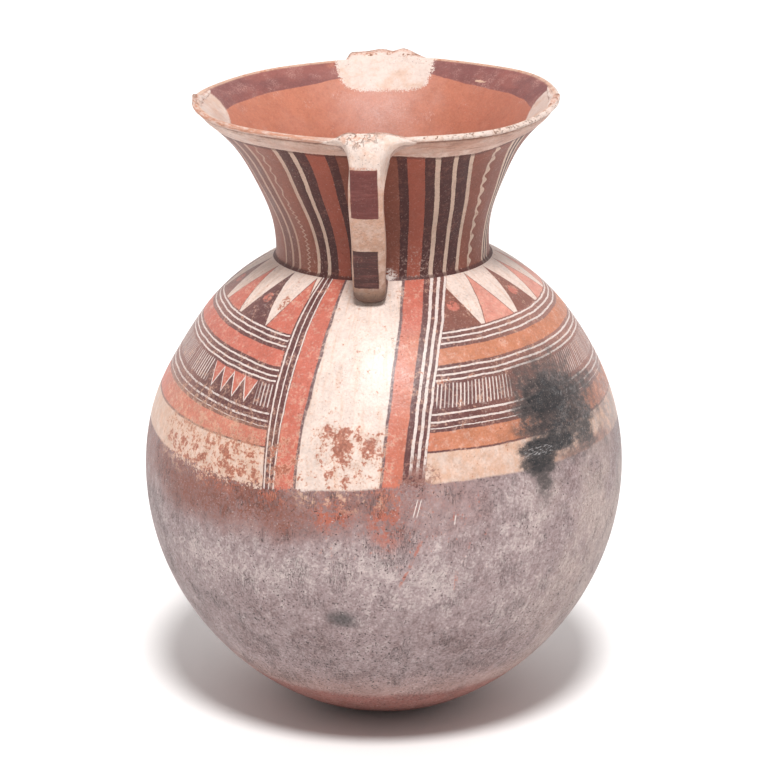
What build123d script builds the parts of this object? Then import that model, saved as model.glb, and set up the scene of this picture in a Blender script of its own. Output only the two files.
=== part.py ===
from build123d import *

import os
from math import acos, cos, degrees, radians, sin

# Round-bodied water jar with a flared neck and two strap handles, hand-built in fired clay.
# Millimetres, +Z up, origin at the centre of the flat spot that the jar stands on.
# The front handle points along -Y and the rear handle along +Y.
# Each piece is one that the potter shapes alone and then lutes to its neighbours with wet clay.

# Body: two round stretches that meet at the equator, on a small pressed base disc
BODY_RADIUS = 147.0
BODY_WALL = 6.0
LOWER_ARC_OFFSET = 13.0  # how far past the axis the lower stretch has its centre
SHOULDER_ARC_OFFSET = 2.5  # the same for the shoulder
BASE_DISC_RADIUS = 55.0
BASE_DISC_RISE = 8.0  # height of the disc's edge above the floor
REST_RADIUS = 30.0  # flat spot worn on the underside
FLOOR_THICKNESS = 7.5

# Neck and rim: a short straight throat, then one flaring arc
THROAT_RADIUS = 64.5
THROAT_HEIGHT = 6.5
NECK_WALL = 5.0
NECK_FLARE_HEIGHT = 85.8
LIP_FLARE_ANGLE = 58.0  # slope of the wall at the lip, from the vertical
RIM_BAND_WIDTH = 15.0  # along the wall, from the seam to the lip
LIP_ROUNDING = 2.0

# Strap handles
HANDLE_WIDTH = 21.5
HANDLE_THICKNESS = 11.0
HANDLE_EDGE_ROUNDING = 4.0
HANDLE_OVERHANG = 1.0  # strap's middle line stands this far outside the lip
HANDLE_LEAN = 27.0  # how far the strap leans in from under the lip to its bend
HANDLE_FOOT_RISE = 8.7  # lower arm's middle line above the shoulder, at the bend
HANDLE_FOOT_DROP = 2.0  # how far the lower arm falls from its bend to the neck
HANDLE_BEND = 9.0
SADDLE_WIDTH = 42.0  # the strap spreads to this width under the lip
SADDLE_THICKNESS = 9.0
SADDLE_DROP = 24.0  # height over which the strap spreads

# Pinched crests on the lip: one over each handle and one on each side
CREST_THICKNESS = 6.0
CREST_LENGTH = 54.0
CREST_TOP_LENGTH = 38.0
FRONT_CREST_HEIGHT = 4.5
REAR_CREST_HEIGHT = 6.5
SIDE_CREST_HEIGHT = 4.5

ROUNDING_SHARE = 0.45  # a rounding takes at most this share of the thickness that it is on


def on_circle(centre, radius, angle):
    """Point (radius, height) of a wall section on a circle, at an angle in degrees from outwards."""
    return (
        centre[0] + radius * cos(radians(angle)),
        centre[1] + radius * sin(radians(angle)),
    )


def at(point):
    """A wall section's (radius, height) as a point of the XZ plane."""
    return (point[0], 0, point[1])


def line(start, end):
    return Line(at(start), at(end))


def arc(centre, radius, start_angle, end_angle):
    angles = (start_angle, (start_angle + end_angle) / 2, end_angle)
    return ThreePointArc(*(at(on_circle(centre, radius, a)) for a in angles))


def section(*edges):
    """Closed wall section, half of what a cut through the jar would show."""
    return make_face(list(edges))


def ring(face):
    return revolve(face, Axis.Z)


# Centres, radii and angles of the wall's round stretches
lower_radius = BODY_RADIUS + LOWER_ARC_OFFSET
base_angle = -degrees(acos((BASE_DISC_RADIUS + LOWER_ARC_OFFSET) / lower_radius))
equator_height = BASE_DISC_RISE - lower_radius * sin(radians(base_angle))
lower_centre = (-LOWER_ARC_OFFSET, equator_height)

shoulder_radius = BODY_RADIUS + SHOULDER_ARC_OFFSET
shoulder_centre = (-SHOULDER_ARC_OFFSET, equator_height)
crease_angle = degrees(acos((THROAT_RADIUS + SHOULDER_ARC_OFFSET) / shoulder_radius))
inner_throat = THROAT_RADIUS - NECK_WALL
inner_crease_angle = degrees(
    acos((inner_throat + SHOULDER_ARC_OFFSET) / (shoulder_radius - BODY_WALL))
)
crease = on_circle(shoulder_centre, shoulder_radius, crease_angle)
inner_crease = on_circle(shoulder_centre, shoulder_radius - BODY_WALL, inner_crease_angle)

throat_height = crease[1] + THROAT_HEIGHT
neck_radius = NECK_FLARE_HEIGHT / sin(radians(LIP_FLARE_ANGLE))
neck_centre = (THROAT_RADIUS + neck_radius, throat_height)
lip_angle = 180 - LIP_FLARE_ANGLE
rim_seam_angle = lip_angle + degrees(RIM_BAND_WIDTH / neck_radius)
inner_neck_radius = neck_radius + NECK_WALL
lip = on_circle(neck_centre, neck_radius, lip_angle)
inner_lip = on_circle(neck_centre, inner_neck_radius, lip_angle)


def make_base_disc():
    """Pat of clay pressed flat underneath, with a slightly dished floor."""
    seam = on_circle(lower_centre, lower_radius, base_angle)
    inner_seam = on_circle(lower_centre, lower_radius - BODY_WALL, base_angle)
    downhill = (sin(radians(base_angle)), 0, -cos(radians(base_angle)))
    return ring(
        section(
            line((0, 0), (REST_RADIUS, 0)),
            TangentArc(at(seam), at((REST_RADIUS, 0)), tangent=downhill),
            line(seam, inner_seam),
            TangentArc(at((0, FLOOR_THICKNESS)), at(inner_seam), tangent=(1, 0, 0)),
            line((0, FLOOR_THICKNESS), (0, 0)),
        )
    )


def make_body_stretch(centre, radius, low_angle, high_angle, inner_high_angle):
    """One bowl-shaped stretch of the body's wall."""
    inner = radius - BODY_WALL
    return ring(
        section(
            arc(centre, radius, low_angle, high_angle),
            line(on_circle(centre, radius, high_angle), on_circle(centre, inner, inner_high_angle)),
            arc(centre, inner, inner_high_angle, low_angle),
            line(on_circle(centre, inner, low_angle), on_circle(centre, radius, low_angle)),
        )
    )


def make_neck():
    """Collar that stands on the shoulder's opening and flares to the rim seam."""
    throat = (THROAT_RADIUS, throat_height)
    inner_foot = (inner_throat, throat_height)
    return ring(
        section(
            line(crease, throat),
            arc(neck_centre, neck_radius, 180, rim_seam_angle),
            line(
                on_circle(neck_centre, neck_radius, rim_seam_angle),
                on_circle(neck_centre, inner_neck_radius, rim_seam_angle),
            ),
            arc(neck_centre, inner_neck_radius, rim_seam_angle, 180),
            line(inner_foot, inner_crease),
            line(inner_crease, crease),
        )
    )


def make_rim_band():
    """Last coil of the wall, with a rounded lip."""
    face = section(
        arc(neck_centre, neck_radius, rim_seam_angle, lip_angle),
        line(lip, inner_lip),
        arc(neck_centre, inner_neck_radius, lip_angle, rim_seam_angle),
        line(
            on_circle(neck_centre, inner_neck_radius, rim_seam_angle),
            on_circle(neck_centre, neck_radius, rim_seam_angle),
        ),
    )
    lip_corners = face.vertices().sort_by(Axis.Z)[-2:]
    rounding = min(LIP_ROUNDING, ROUNDING_SHARE * NECK_WALL)
    return ring(fillet(lip_corners, rounding))


def make_crest(height, turn, rim_band):
    """Roll of clay pinched upright along the lip, with sloping ends, turned to its place from the front."""
    top = inner_lip[1] + height
    half_thickness = CREST_THICKNESS / 2
    inner_face = lip[0] - CREST_THICKNESS
    shoulder_line = top - half_thickness
    face = section(
        line(lip, (lip[0], shoulder_line)),
        ThreePointArc(
            at((lip[0], shoulder_line)),
            at((lip[0] - half_thickness, top)),
            at((inner_face, shoulder_line)),
        ),
        line((inner_face, shoulder_line), (inner_face, lip[1])),
        line((inner_face, lip[1]), lip),
    )
    half, half_top = CREST_LENGTH / 2, CREST_TOP_LENGTH / 2
    outline = Plane.XZ * Polygon(
        (-half, lip[1]),
        (half, lip[1]),
        (half, inner_lip[1]),
        (half_top, top),
        (-half_top, top),
        (-half, inner_lip[1]),
        align=None,
    )
    reach = extrude(outline, amount=2 * lip[0])
    return Rot(0, 0, turn) * ((ring(face) & reach) - rim_band)


def make_jar_bulk():
    """Everything inside the jar's outer surface, which a handle may not enter."""
    top = (0, inner_lip[1])
    return ring(
        section(
            line((0, 0), (BASE_DISC_RADIUS, 0)),
            line((BASE_DISC_RADIUS, 0), on_circle(lower_centre, lower_radius, base_angle)),
            arc(lower_centre, lower_radius, base_angle, 0),
            arc(shoulder_centre, shoulder_radius, 0, crease_angle),
            line(crease, (THROAT_RADIUS, throat_height)),
            arc(neck_centre, neck_radius, 180, lip_angle),
            line(lip, inner_lip),
            line(inner_lip, top),
            line(top, (0, 0)),
        )
    )


def shoulder_height(radius):
    """Height of the shoulder's outer face at this distance from the axis."""
    return shoulder_centre[1] + shoulder_radius * sin(acos((radius - shoulder_centre[0]) / shoulder_radius))


def strap_section(width, thickness, point, direction):
    """Rounded strap section across the handle's middle line, in the front handle's plane."""
    plane = Plane(origin=(0, -point[0], point[1]), x_dir=(1, 0, 0), z_dir=direction)
    rounding = min(HANDLE_EDGE_ROUNDING, ROUNDING_SHARE * thickness)
    return plane * RectangleRounded(width, thickness, rounding)


def make_front_handle(jar_bulk):
    """Strap that spreads under the lip, leans in to the shoulder and turns under to the neck's foot."""
    strap = lip[0] + HANDLE_OVERHANG
    spread_height = lip[1] - SADDLE_DROP
    bend = strap - HANDLE_LEAN
    bend_height = shoulder_height(bend) + HANDLE_FOOT_RISE
    foot = (THROAT_RADIUS - NECK_WALL, bend_height - HANDLE_FOOT_DROP)
    path = FilletPolyline(
        (0, -strap, spread_height),
        (0, -bend, bend_height),
        (0, -foot[0], foot[1]),
        radius=HANDLE_BEND,
    )
    down = (0, strap - bend, bend_height - spread_height)
    strap_end = strap_section(HANDLE_WIDTH, HANDLE_THICKNESS, (strap, spread_height), down)
    saddle_end = strap_section(
        SADDLE_WIDTH,
        SADDLE_THICKNESS,
        ((lip[0] + inner_lip[0]) / 2, inner_lip[1] - NECK_WALL / 2),
        (0, -sin(radians(LIP_FLARE_ANGLE)), -cos(radians(LIP_FLARE_ANGLE))),
    )
    saddle = loft([saddle_end, strap_end])
    strap_bar = sweep(strap_end, path)
    return saddle + strap_bar - jar_bulk


def main():
    os.makedirs("parts", exist_ok=True)
    rim_band = make_rim_band()
    jar_bulk = make_jar_bulk()
    front_crest = make_crest(FRONT_CREST_HEIGHT, 0, rim_band)
    rear_crest = make_crest(REAR_CREST_HEIGHT, 180, rim_band)
    strap = make_front_handle(jar_bulk)
    pieces = {
        "base_disc": make_base_disc(),
        "lower_bowl": make_body_stretch(lower_centre, lower_radius, base_angle, 0, 0),
        "shoulder": make_body_stretch(
            shoulder_centre, shoulder_radius, 0, crease_angle, inner_crease_angle
        ),
        "neck": make_neck(),
        "rim_band": rim_band,
        "front_handle": strap - front_crest,
        "rear_handle": Rot(0, 0, 180) * strap - rear_crest,
        "front_crest": front_crest,
        "rear_crest": rear_crest,
        "left_crest": make_crest(SIDE_CREST_HEIGHT, 270, rim_band),
        "right_crest": make_crest(SIDE_CREST_HEIGHT, 90, rim_band),
    }
    for name, piece in pieces.items():
        export_step(piece, os.path.join("parts", name + ".step"))


main()
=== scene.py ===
from functools import reduce
from math import acos, asin, cos, degrees, pi, radians, sin, tan

import bmesh
import bpy
import numpy as np
from mathutils import Matrix, Vector, noise


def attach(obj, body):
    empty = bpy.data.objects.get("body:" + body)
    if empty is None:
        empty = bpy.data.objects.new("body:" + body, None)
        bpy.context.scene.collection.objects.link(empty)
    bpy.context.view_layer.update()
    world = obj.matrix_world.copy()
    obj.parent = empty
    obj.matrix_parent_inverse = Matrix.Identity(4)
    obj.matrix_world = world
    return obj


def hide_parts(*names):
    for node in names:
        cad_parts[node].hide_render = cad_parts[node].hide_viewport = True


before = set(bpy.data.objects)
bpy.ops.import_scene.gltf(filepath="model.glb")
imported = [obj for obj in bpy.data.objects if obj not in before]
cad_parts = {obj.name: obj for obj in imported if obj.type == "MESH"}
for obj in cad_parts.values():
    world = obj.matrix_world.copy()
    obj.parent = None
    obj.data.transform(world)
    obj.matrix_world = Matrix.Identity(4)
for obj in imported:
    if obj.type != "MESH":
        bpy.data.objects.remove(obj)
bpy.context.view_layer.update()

# Sizes of the jar in millimetres, as the part has them
MM = 0.001
BODY_RADIUS = 147.0
BODY_WALL = 6.0
LOWER_ARC_OFFSET = 13.0
SHOULDER_ARC_OFFSET = 2.5
BASE_DISC_RADIUS = 55.0
BASE_DISC_RISE = 8.0
REST_RADIUS = 30.0
FLOOR_THICKNESS = 7.5
THROAT_RADIUS = 64.5
THROAT_HEIGHT = 6.5
NECK_WALL = 5.0
NECK_FLARE_HEIGHT = 85.8
LIP_FLARE_ANGLE = 58.0
RIM_BAND_WIDTH = 15.0
LIP_ROUNDING = 2.0
HANDLE_WIDTH = 20.0  # the part has 21.5 before the hand wears its edges
HANDLE_THICKNESS = 11.0
HANDLE_OVERHANG = 1.0
HANDLE_LEAN = 30.5  # the part has 27.0, with no wet clay between strap and shoulder
HANDLE_FOOT_RISE = 8.7
HANDLE_FOOT_DROP = 2.0
HANDLE_BEND = 9.0

# Small forms that the hand left on the lip and at the foot of the neck
LIP_WIPED = 1.6  # how much thinner than the neck wall the lip was wiped
BEAD_ROUNDING = 1.2
BEAD_DEPTH = 2.6  # from the lip's end to the groove under it
BEAD_SLOPE = 0.6  # length over which the bead falls into the groove
GROOVE_END = 5.0
GROOVE_SLOPE = 1.1
GROOVE_DEPTH = 0.35  # under the wiped lip
GROOVE_DEPTH_AT_BEAD = 0.3
GROOVE_TAPER = 0.55  # share of the wiping at the groove's end
TAPER_START = 9.0
NECK_FOOT_ROUNDING = 2.6
NECK_FOOT_LIFT = 2.2  # centre of that rounding above the crease
NECK_FOOT_REACH = 2.4
NECK_FOOT_SUNK = 1.6

# The strap's saddle on the lip and its bed on the shoulder
SADDLE_INSET = 1.9  # the strap starts this far inside the lip's top
SADDLE_SUNK = 2.6  # and this far under it
SADDLE_FALL = 28.2  # from the lip down to where the strap runs straight
SADDLE_REACH = 18.0  # how far up from there the saddle's curve has its corner
WING_DROP = 4.0  # the saddle's wings lie this far under the lip's top
WING_SUNK = 2.4  # and end this deep in the neck
RIGHT_WING = 19.0  # how far a wing spreads along the lip
RIGHT_WING_FADE = 7.5  # height over which its spread falls off
LEFT_WING = 12.0
LEFT_WING_FADE = 5.5
FOOT_CLAY = 3.0  # wet clay that beds the strap's lower bend on the shoulder
STRAP_SQUARE_SIDES = 0.36  # powers under 1 square off the strap's round section
STRAP_SQUARE_FACES = 0.45
STRAP_CROWN = 0.10  # share of the thickness missing at the strap's edges
STRAP_BEND_CROWN = 0.25  # further share at its lower bend
STRAP_NARROWED = 0.5  # how far each edge draws in towards the foot
STRAP_NARROWING = (45, 15)  # where that starts and ends, before the foot
SADDLE_THINNED = 1.2  # taken off each face at the lip
SADDLE_THIN_FADE = 8.0
FOOT_THICKENED = 1.0  # added to each face at the foot
FOOT_THICK_FADE = 6.0
EDGE_WAVE = 0.35  # waver of the strap's edges
EDGE_WAVE_STEP = 9.0  # length of strap to each radian of the wave
FACE_WAVE = 0.25  # waver of its faces
FACE_WAVE_STEP = 7.0
WING_EDGE = 1.5  # a wing starts this far inside the strap's edge
WING_HEIGHTS = (350, 366)  # none of it is pressed on at the first height, all at the second

# Crests, measured from the lip's top
CREST_SQUARE = 0.75
CREST_FOOT = 0.9  # a crest with no rise has its top this far down
CREST_ROOT = 5.5  # and its underside this far
CREST_ROOT_RISE = 2.0  # how much higher the underside is at the ends
CREST_TAPER = 0.65  # share of the thickness missing at the ends
CREST_LUMPS = 0.6
BROAD_LUMPS = (0.16, 0.9, 1.4)  # noise scale along the lip, across and up
FINE_LUMPS = (0.45, 2.0, 2.0)
FINE_SHARE = 0.6

WHEEL_STEPS = 360  # faces round each wall


def on_circle(centre, radius, angle):
    """Point (radius, height) of a wall section on a circle, at an angle in degrees from outwards."""
    return (centre[0] + radius * cos(radians(angle)), centre[1] + radius * sin(radians(angle)))


lower_radius = BODY_RADIUS + LOWER_ARC_OFFSET
base_turn = degrees(acos((BASE_DISC_RADIUS + LOWER_ARC_OFFSET) / lower_radius))
equator = BASE_DISC_RISE + lower_radius * sin(radians(base_turn))
lower_centre = (-LOWER_ARC_OFFSET, equator)
shoulder_radius = BODY_RADIUS + SHOULDER_ARC_OFFSET
shoulder_centre = (-SHOULDER_ARC_OFFSET, equator)
crease_turn = degrees(acos((THROAT_RADIUS + SHOULDER_ARC_OFFSET) / shoulder_radius))
inner_throat = THROAT_RADIUS - NECK_WALL
inner_crease_turn = degrees(acos((inner_throat + SHOULDER_ARC_OFFSET) / (shoulder_radius - BODY_WALL)))
crease = on_circle(shoulder_centre, shoulder_radius, crease_turn)
inner_crease = on_circle(shoulder_centre, shoulder_radius - BODY_WALL, inner_crease_turn)
shoulder_length = shoulder_radius * radians(crease_turn)  # along the wall, crease to equator
throat_height = crease[1] + THROAT_HEIGHT
neck_radius = NECK_FLARE_HEIGHT / sin(radians(LIP_FLARE_ANGLE))
inner_neck_radius = neck_radius + NECK_WALL
neck_centre = (THROAT_RADIUS + neck_radius, throat_height)
lip_angle = 180 - LIP_FLARE_ANGLE
rim_seam_angle = lip_angle + degrees(RIM_BAND_WIDTH / neck_radius)
lip_top = on_circle(neck_centre, inner_neck_radius, lip_angle)


# Clay walls: each is a section turned round the jar's axis


class WallSection:
    """Outline of a cut wall in the plane y = 0, which is then turned round the jar's axis."""

    def __init__(self, start):
        self.clay = bmesh.new()
        self.first = self.clay.verts.new((start[0], 0.0, start[1]))
        self.last = self.first

    def line(self, end, rows=1):
        step = (Vector((end[0], 0.0, end[1])) - self.last.co) / rows
        for _ in range(rows):
            grown = bmesh.ops.extrude_vert_indiv(self.clay, verts=[self.last])
            bmesh.ops.translate(self.clay, verts=grown["verts"], vec=step)
            self.last = grown["verts"][0]

    def arc(self, centre, turn, rows):
        """Carries the outline on along a circle about a centre, by degrees clockwise."""
        swept = bmesh.ops.spin(
            self.clay,
            geom=[self.last],
            cent=(centre[0], 0.0, centre[1]),
            axis=(0.0, 1.0, 0.0),
            angle=radians(turn),
            steps=rows,
        )
        self.last = next(v for v in swept["geom_last"] if isinstance(v, bmesh.types.BMVert))

    def close(self):
        self.clay.edges.new((self.last, self.first))

    def throw(self):
        """Turns the section on the wheel and returns the wall."""
        bmesh.ops.spin(
            self.clay,
            geom=self.clay.verts[:] + self.clay.edges[:],
            cent=(0.0, 0.0, 0.0),
            axis=(0.0, 0.0, 1.0),
            angle=2 * pi,
            steps=WHEEL_STEPS,
            use_merge=True,
        )
        bmesh.ops.remove_doubles(self.clay, verts=self.clay.verts[:], dist=0.001)
        bmesh.ops.recalc_face_normals(self.clay, faces=self.clay.faces[:])
        return self.clay


def throw_shoulder():
    section = WallSection(crease)
    section.arc(shoulder_centre, crease_turn, 66)
    section.line((BODY_RADIUS - BODY_WALL, equator))
    section.arc(shoulder_centre, -inner_crease_turn, 24)
    section.close()
    return section.throw()


def throw_lower_bowl():
    section = WallSection((BODY_RADIUS, equator))
    section.arc(lower_centre, base_turn, 64)
    section.line(on_circle(lower_centre, lower_radius - BODY_WALL, -base_turn))
    section.arc(lower_centre, -base_turn, 24)
    section.close()
    return section.throw()


def throw_base_disc():
    """The underside runs on smoothly from the bowl to the flat spot that the jar stands on."""
    seam = Vector(on_circle(lower_centre, lower_radius, -base_turn))
    down_slope = Vector((cos(radians(base_turn)), -sin(radians(base_turn))))
    reach = seam - Vector((REST_RADIUS, 0.0))
    under_radius = reach.length_squared / (2 * reach.dot(down_slope))
    under_centre = seam - under_radius * down_slope
    rest_turn = degrees(acos((REST_RADIUS - under_centre.x) / under_radius))
    inner_seam = on_circle(lower_centre, lower_radius - BODY_WALL, -base_turn)
    section = WallSection(seam)
    section.arc(under_centre, rest_turn - base_turn, 10)
    section.line((0.0, 0.0), 6)
    section.line((0.0, FLOOR_THICKNESS))
    rise = inner_seam[1] - FLOOR_THICKNESS
    dish_radius = (inner_seam[0] ** 2 + rise**2) / (2 * rise)
    section.arc((0.0, FLOOR_THICKNESS + dish_radius), -degrees(asin(inner_seam[0] / dish_radius)), 12)
    section.close()
    return section.throw()


def throw_neck():
    """Collar with a small soft foot where wet clay was smeared onto the shoulder."""
    foot_centre = (THROAT_RADIUS + NECK_FOOT_ROUNDING, crease[1] + NECK_FOOT_LIFT)
    seam_turn = 180 - rim_seam_angle
    section = WallSection((THROAT_RADIUS + NECK_FOOT_REACH, crease[1] - NECK_FOOT_SUNK))
    section.line(on_circle(foot_centre, NECK_FOOT_ROUNDING, 240))
    section.arc(foot_centre, 60, 5)
    section.line((THROAT_RADIUS, throat_height))
    section.arc(neck_centre, seam_turn, 48)
    section.line(on_circle(neck_centre, inner_neck_radius, rim_seam_angle))
    section.arc(neck_centre, -seam_turn, 40)
    section.line(inner_crease, 4)
    section.close()
    return section.throw()


def throw_rim_band():
    """Last of the flare: it thins to a shallow groove, then the lip, wiped round on its edges."""

    def outside(way_back, wiped):
        """Point on the outside, some way back from the lip's end and wiped down from the flare."""
        return on_circle(neck_centre, neck_radius + wiped, lip_angle + degrees(way_back / neck_radius))

    outer_wipe = outside(BEAD_ROUNDING, LIP_WIPED + BEAD_ROUNDING)
    inner_wipe = on_circle(
        neck_centre, inner_neck_radius - LIP_ROUNDING, lip_angle + degrees(LIP_ROUNDING / neck_radius)
    )
    section = WallSection(outside(RIM_BAND_WIDTH, 0.0))
    section.arc(neck_centre, degrees((RIM_BAND_WIDTH - TAPER_START) / neck_radius), 6)
    section.line(outside(GROOVE_END, GROOVE_TAPER * LIP_WIPED), 3)
    section.line(outside(GROOVE_END - GROOVE_SLOPE, LIP_WIPED + GROOVE_DEPTH))
    section.line(outside(BEAD_DEPTH, LIP_WIPED + GROOVE_DEPTH_AT_BEAD))
    section.line(outside(BEAD_DEPTH - BEAD_SLOPE, LIP_WIPED))
    section.line(outside(BEAD_ROUNDING, LIP_WIPED))
    section.arc(outer_wipe, -90, 5)
    lip_way = Vector((cos(radians(lip_angle)), sin(radians(lip_angle))))
    flat = NECK_WALL - LIP_WIPED - BEAD_ROUNDING - LIP_ROUNDING
    section.line(Vector((section.last.co.x, section.last.co.z)) + flat * lip_way)
    section.arc(inner_wipe, -90, 5)
    section.arc(neck_centre, degrees((LIP_ROUNDING - RIM_BAND_WIDTH) / neck_radius), 10)
    section.close()
    return section.throw()


# Rolls of clay: straps and pinched crests start as a round roll that is bent and flattened


def roll_of_clay(around, along):
    """A round roll with a radius of 1, its length from 0 to 1 along Z."""
    clay = bmesh.new()
    bmesh.ops.create_cone(clay, cap_ends=True, segments=around, radius1=1.0, radius2=1.0, depth=1.0)
    lengthwise = [e for e in clay.edges if abs(e.verts[0].co.z - e.verts[1].co.z) > 0.5]
    bmesh.ops.subdivide_edges(clay, edges=lengthwise, cuts=along - 1, use_grid_fill=True)
    bmesh.ops.translate(clay, verts=clay.verts[:], vec=(0.0, 0.0, 0.5))
    return clay


def squared(value, power):
    """Pushes the coordinate of a round section outwards, towards a flat-sided one."""
    return np.sign(value) * np.abs(value) ** power


def shoulder_height(radius):
    """Height of the shoulder's outer face at this distance from the axis."""
    return equator + shoulder_radius * sin(acos((radius + SHOULDER_ARC_OFFSET) / shoulder_radius))


def neck_face(heights):
    """Distance of the neck's outer face from the axis, at heights from the throat to the lip."""
    rises = np.clip(heights - throat_height, 0, NECK_FLARE_HEIGHT)
    return neck_centre[0] - np.sqrt(neck_radius**2 - rises**2)


def strap_line():
    """Middle line of the strap as (radius, height), from over the lip to the foot of the neck."""
    lip_reach = neck_centre[0] + neck_radius * cos(radians(lip_angle))
    under_lip = np.array((lip_reach + HANDLE_OVERHANG, lip_top[1] - SADDLE_FALL))
    bend_corner = np.array((under_lip[0] - HANDLE_LEAN, 0.0))
    bend_corner[1] = shoulder_height(bend_corner[0]) + HANDLE_FOOT_RISE
    foot = np.array((THROAT_RADIUS - NECK_WALL / 2, bend_corner[1] - HANDLE_FOOT_DROP))
    strap_way = (bend_corner - under_lip) / np.hypot(*(bend_corner - under_lip))
    arm_way = (foot - bend_corner) / np.hypot(*(foot - bend_corner))
    t = np.linspace(0, 1, 40)[:, None]
    over = np.array((lip_top[0] - SADDLE_INSET, lip_top[1] - SADDLE_SUNK))
    corner = under_lip - SADDLE_REACH * strap_way
    saddle = (1 - t) ** 2 * over + 2 * t * (1 - t) * corner + t**2 * under_lip
    turn = acos(strap_way @ arm_way)
    outwards = np.array((-strap_way[1], strap_way[0]))
    bend_start = bend_corner - HANDLE_BEND * tan(turn / 2) * strap_way
    turns = np.linspace(0, turn, 30)[:, None]
    bend = bend_start + HANDLE_BEND * (np.sin(turns) * strap_way - (1 - np.cos(turns)) * outwards)
    line = np.concatenate((saddle, bend, foot[None]))
    step = np.hypot(*np.diff(line, axis=0).T)
    length = np.concatenate(((0.0,), np.cumsum(step)))
    return line, length


def bend_strap():
    """Strap handle on the front, with the attribute values that its paint needs."""
    clay = roll_of_clay(64, 120)
    line, length = strap_line()
    points = np.array([v.co for v in clay.verts])
    way = points[:, 2] * length[-1]
    radius = np.interp(way, length, line[:, 0])
    height = np.interp(way, length, line[:, 1])
    nudge = 0.4
    ahead = [np.interp(way + nudge, length, line[:, k]) for k in (0, 1)]
    behind = [np.interp(way - nudge, length, line[:, k]) for k in (0, 1)]
    run = np.stack((ahead[0] - behind[0], ahead[1] - behind[1]), 1)
    run /= np.hypot(*run.T)[:, None]
    side = squared(points[:, 0], STRAP_SQUARE_SIDES)
    face = squared(points[:, 1], STRAP_SQUARE_FACES)
    from_lip = np.clip(lip_top[1] - WING_DROP - height, 0, None)
    from_foot = length[-1] - way
    right_spread = RIGHT_WING * np.exp(-from_lip / RIGHT_WING_FADE)
    left_spread = LEFT_WING * np.exp(-from_lip / LEFT_WING_FADE)
    spread = np.where(side > 0, right_spread, left_spread)
    half_width = HANDLE_WIDTH / 2 + spread - STRAP_NARROWED * rise(from_foot, *STRAP_NARROWING)
    thinned = SADDLE_THINNED * np.exp(-from_lip / SADDLE_THIN_FADE)
    thickened = FOOT_THICKENED * np.exp(-from_foot / FOOT_THICK_FADE)
    half_depth = HANDLE_THICKNESS / 2 - thinned + thickened
    lateral = side * half_width + EDGE_WAVE * np.sin(way / EDGE_WAVE_STEP) * np.abs(side)
    turned_in = rise(-run[:, 0], 0.5, 0.95)
    edge_share = (STRAP_CROWN + STRAP_BEND_CROWN * turned_in) * side**2
    crown = half_depth * face * (1 - edge_share) + FACE_WAVE * np.sin(way / FACE_WAVE_STEP + 1.0)
    crown += np.clip(face, 0, 1) * FOOT_CLAY * turned_in
    out = radius - run[:, 1] * crown
    up = height + run[:, 0] * crown
    past_edge = np.abs(lateral) - HANDLE_WIDTH / 2 + WING_EDGE
    wing = np.clip(past_edge / (spread + WING_EDGE), 0, 1) * rise(up, *WING_HEIGHTS)
    pressed = wing**1.5
    up = up - np.clip(up - lip_top[1] + WING_DROP, 0, None) * pressed
    out = out + (neck_face(up) - WING_SUNK - out) * pressed
    for vert, across, r, z in zip(clay.verts, lateral, out, up):
        vert.co = (across, -r, z)
    bmesh.ops.recalc_face_normals(clay, faces=clay.faces[:])
    return clay, np.stack((lateral, height, face), 1)


def pinch_crest(heights, length, stands_out, half_thick, lean):
    """A ridge pinched up from the lip on the front; heights gives its rise along the lip."""
    clay = roll_of_clay(32, 90)
    points = np.array([v.co for v in clay.verts])
    along = (points[:, 2] - 0.5) * length
    ends = np.abs(2 * points[:, 2] - 1) ** 3
    thickness = half_thick * (1 - CREST_TAPER * ends)
    top = lip_top[1] - CREST_FOOT + heights(along)
    bottom = lip_top[1] - CREST_ROOT + CREST_ROOT_RISE * ends
    middle = lip_top[0] + stands_out
    side = squared(points[:, 0], CREST_SQUARE)
    lift = squared(points[:, 1], CREST_SQUARE)
    for vert, m, s, u, thick, high, low in zip(clay.verts, along, side, lift, thickness, top, bottom):
        broad = noise.noise([a * b for a, b in zip((m, s, u), BROAD_LUMPS)])
        fine = noise.noise([a * b for a, b in zip((m, s, u), FINE_LUMPS)])
        lump = broad + FINE_SHARE * fine
        z = (high + low) / 2 + u * (high - low) / 2
        flush = 1 + 0.5 * min(u, 0.0)
        r = middle + s * thick * flush + CREST_LUMPS * lump * (1 - abs(2 * m / length) ** 2)
        r += lean * (z - lip_top[1])
        turn = m / middle
        vert.co = (r * sin(turn), -r * cos(turn), z)
    bmesh.ops.recalc_face_normals(clay, faces=clay.faces[:])
    return clay, np.stack((along, lift, top), 1)


def swell(value, middle, reach):
    return np.exp(-(((value - middle) / reach) ** 2))


def rise(value, low, high):
    share = np.clip((value - low) / (high - low), 0, 1)
    return share * share * (3 - 2 * share)


def rear_heights(along):
    """Seen from the front through the mouth: steep on the left, two finger lobes, long right slope."""
    seen = -along
    ridge = 3.7 * rise(seen, -27, -21) * (1 - rise(seen, 10, 29.5))
    lobes = 0.7 * swell(seen, -3, 5) + 0.7 * swell(seen, 10.6, 5) - 0.6 * swell(seen, 4, 3)
    return ridge + lobes - 0.6


def front_heights(along):
    ridge = 3.4 * rise(along, -20, -10) * (1 - rise(along, 10, 28))
    lobes = 0.5 * swell(along, -9, 4) - 0.6 * swell(along, -3, 3) + 0.4 * swell(along, 7, 5)
    return ridge + lobes - 0.6


def side_heights(ahead):
    """Rise of the left crest, and of the right one mirrored: its lobes stand to the front."""
    ridge = 1.9 * rise(ahead, -10, 4) * (1 - rise(ahead, 17, 27))
    lobes = 0.6 * swell(ahead, 3, 3) - 0.6 * swell(ahead, 9, 3) + 0.5 * swell(ahead, 15, 4)
    return ridge + lobes - 0.6


def right_heights(along):
    return side_heights(-along)


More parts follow.
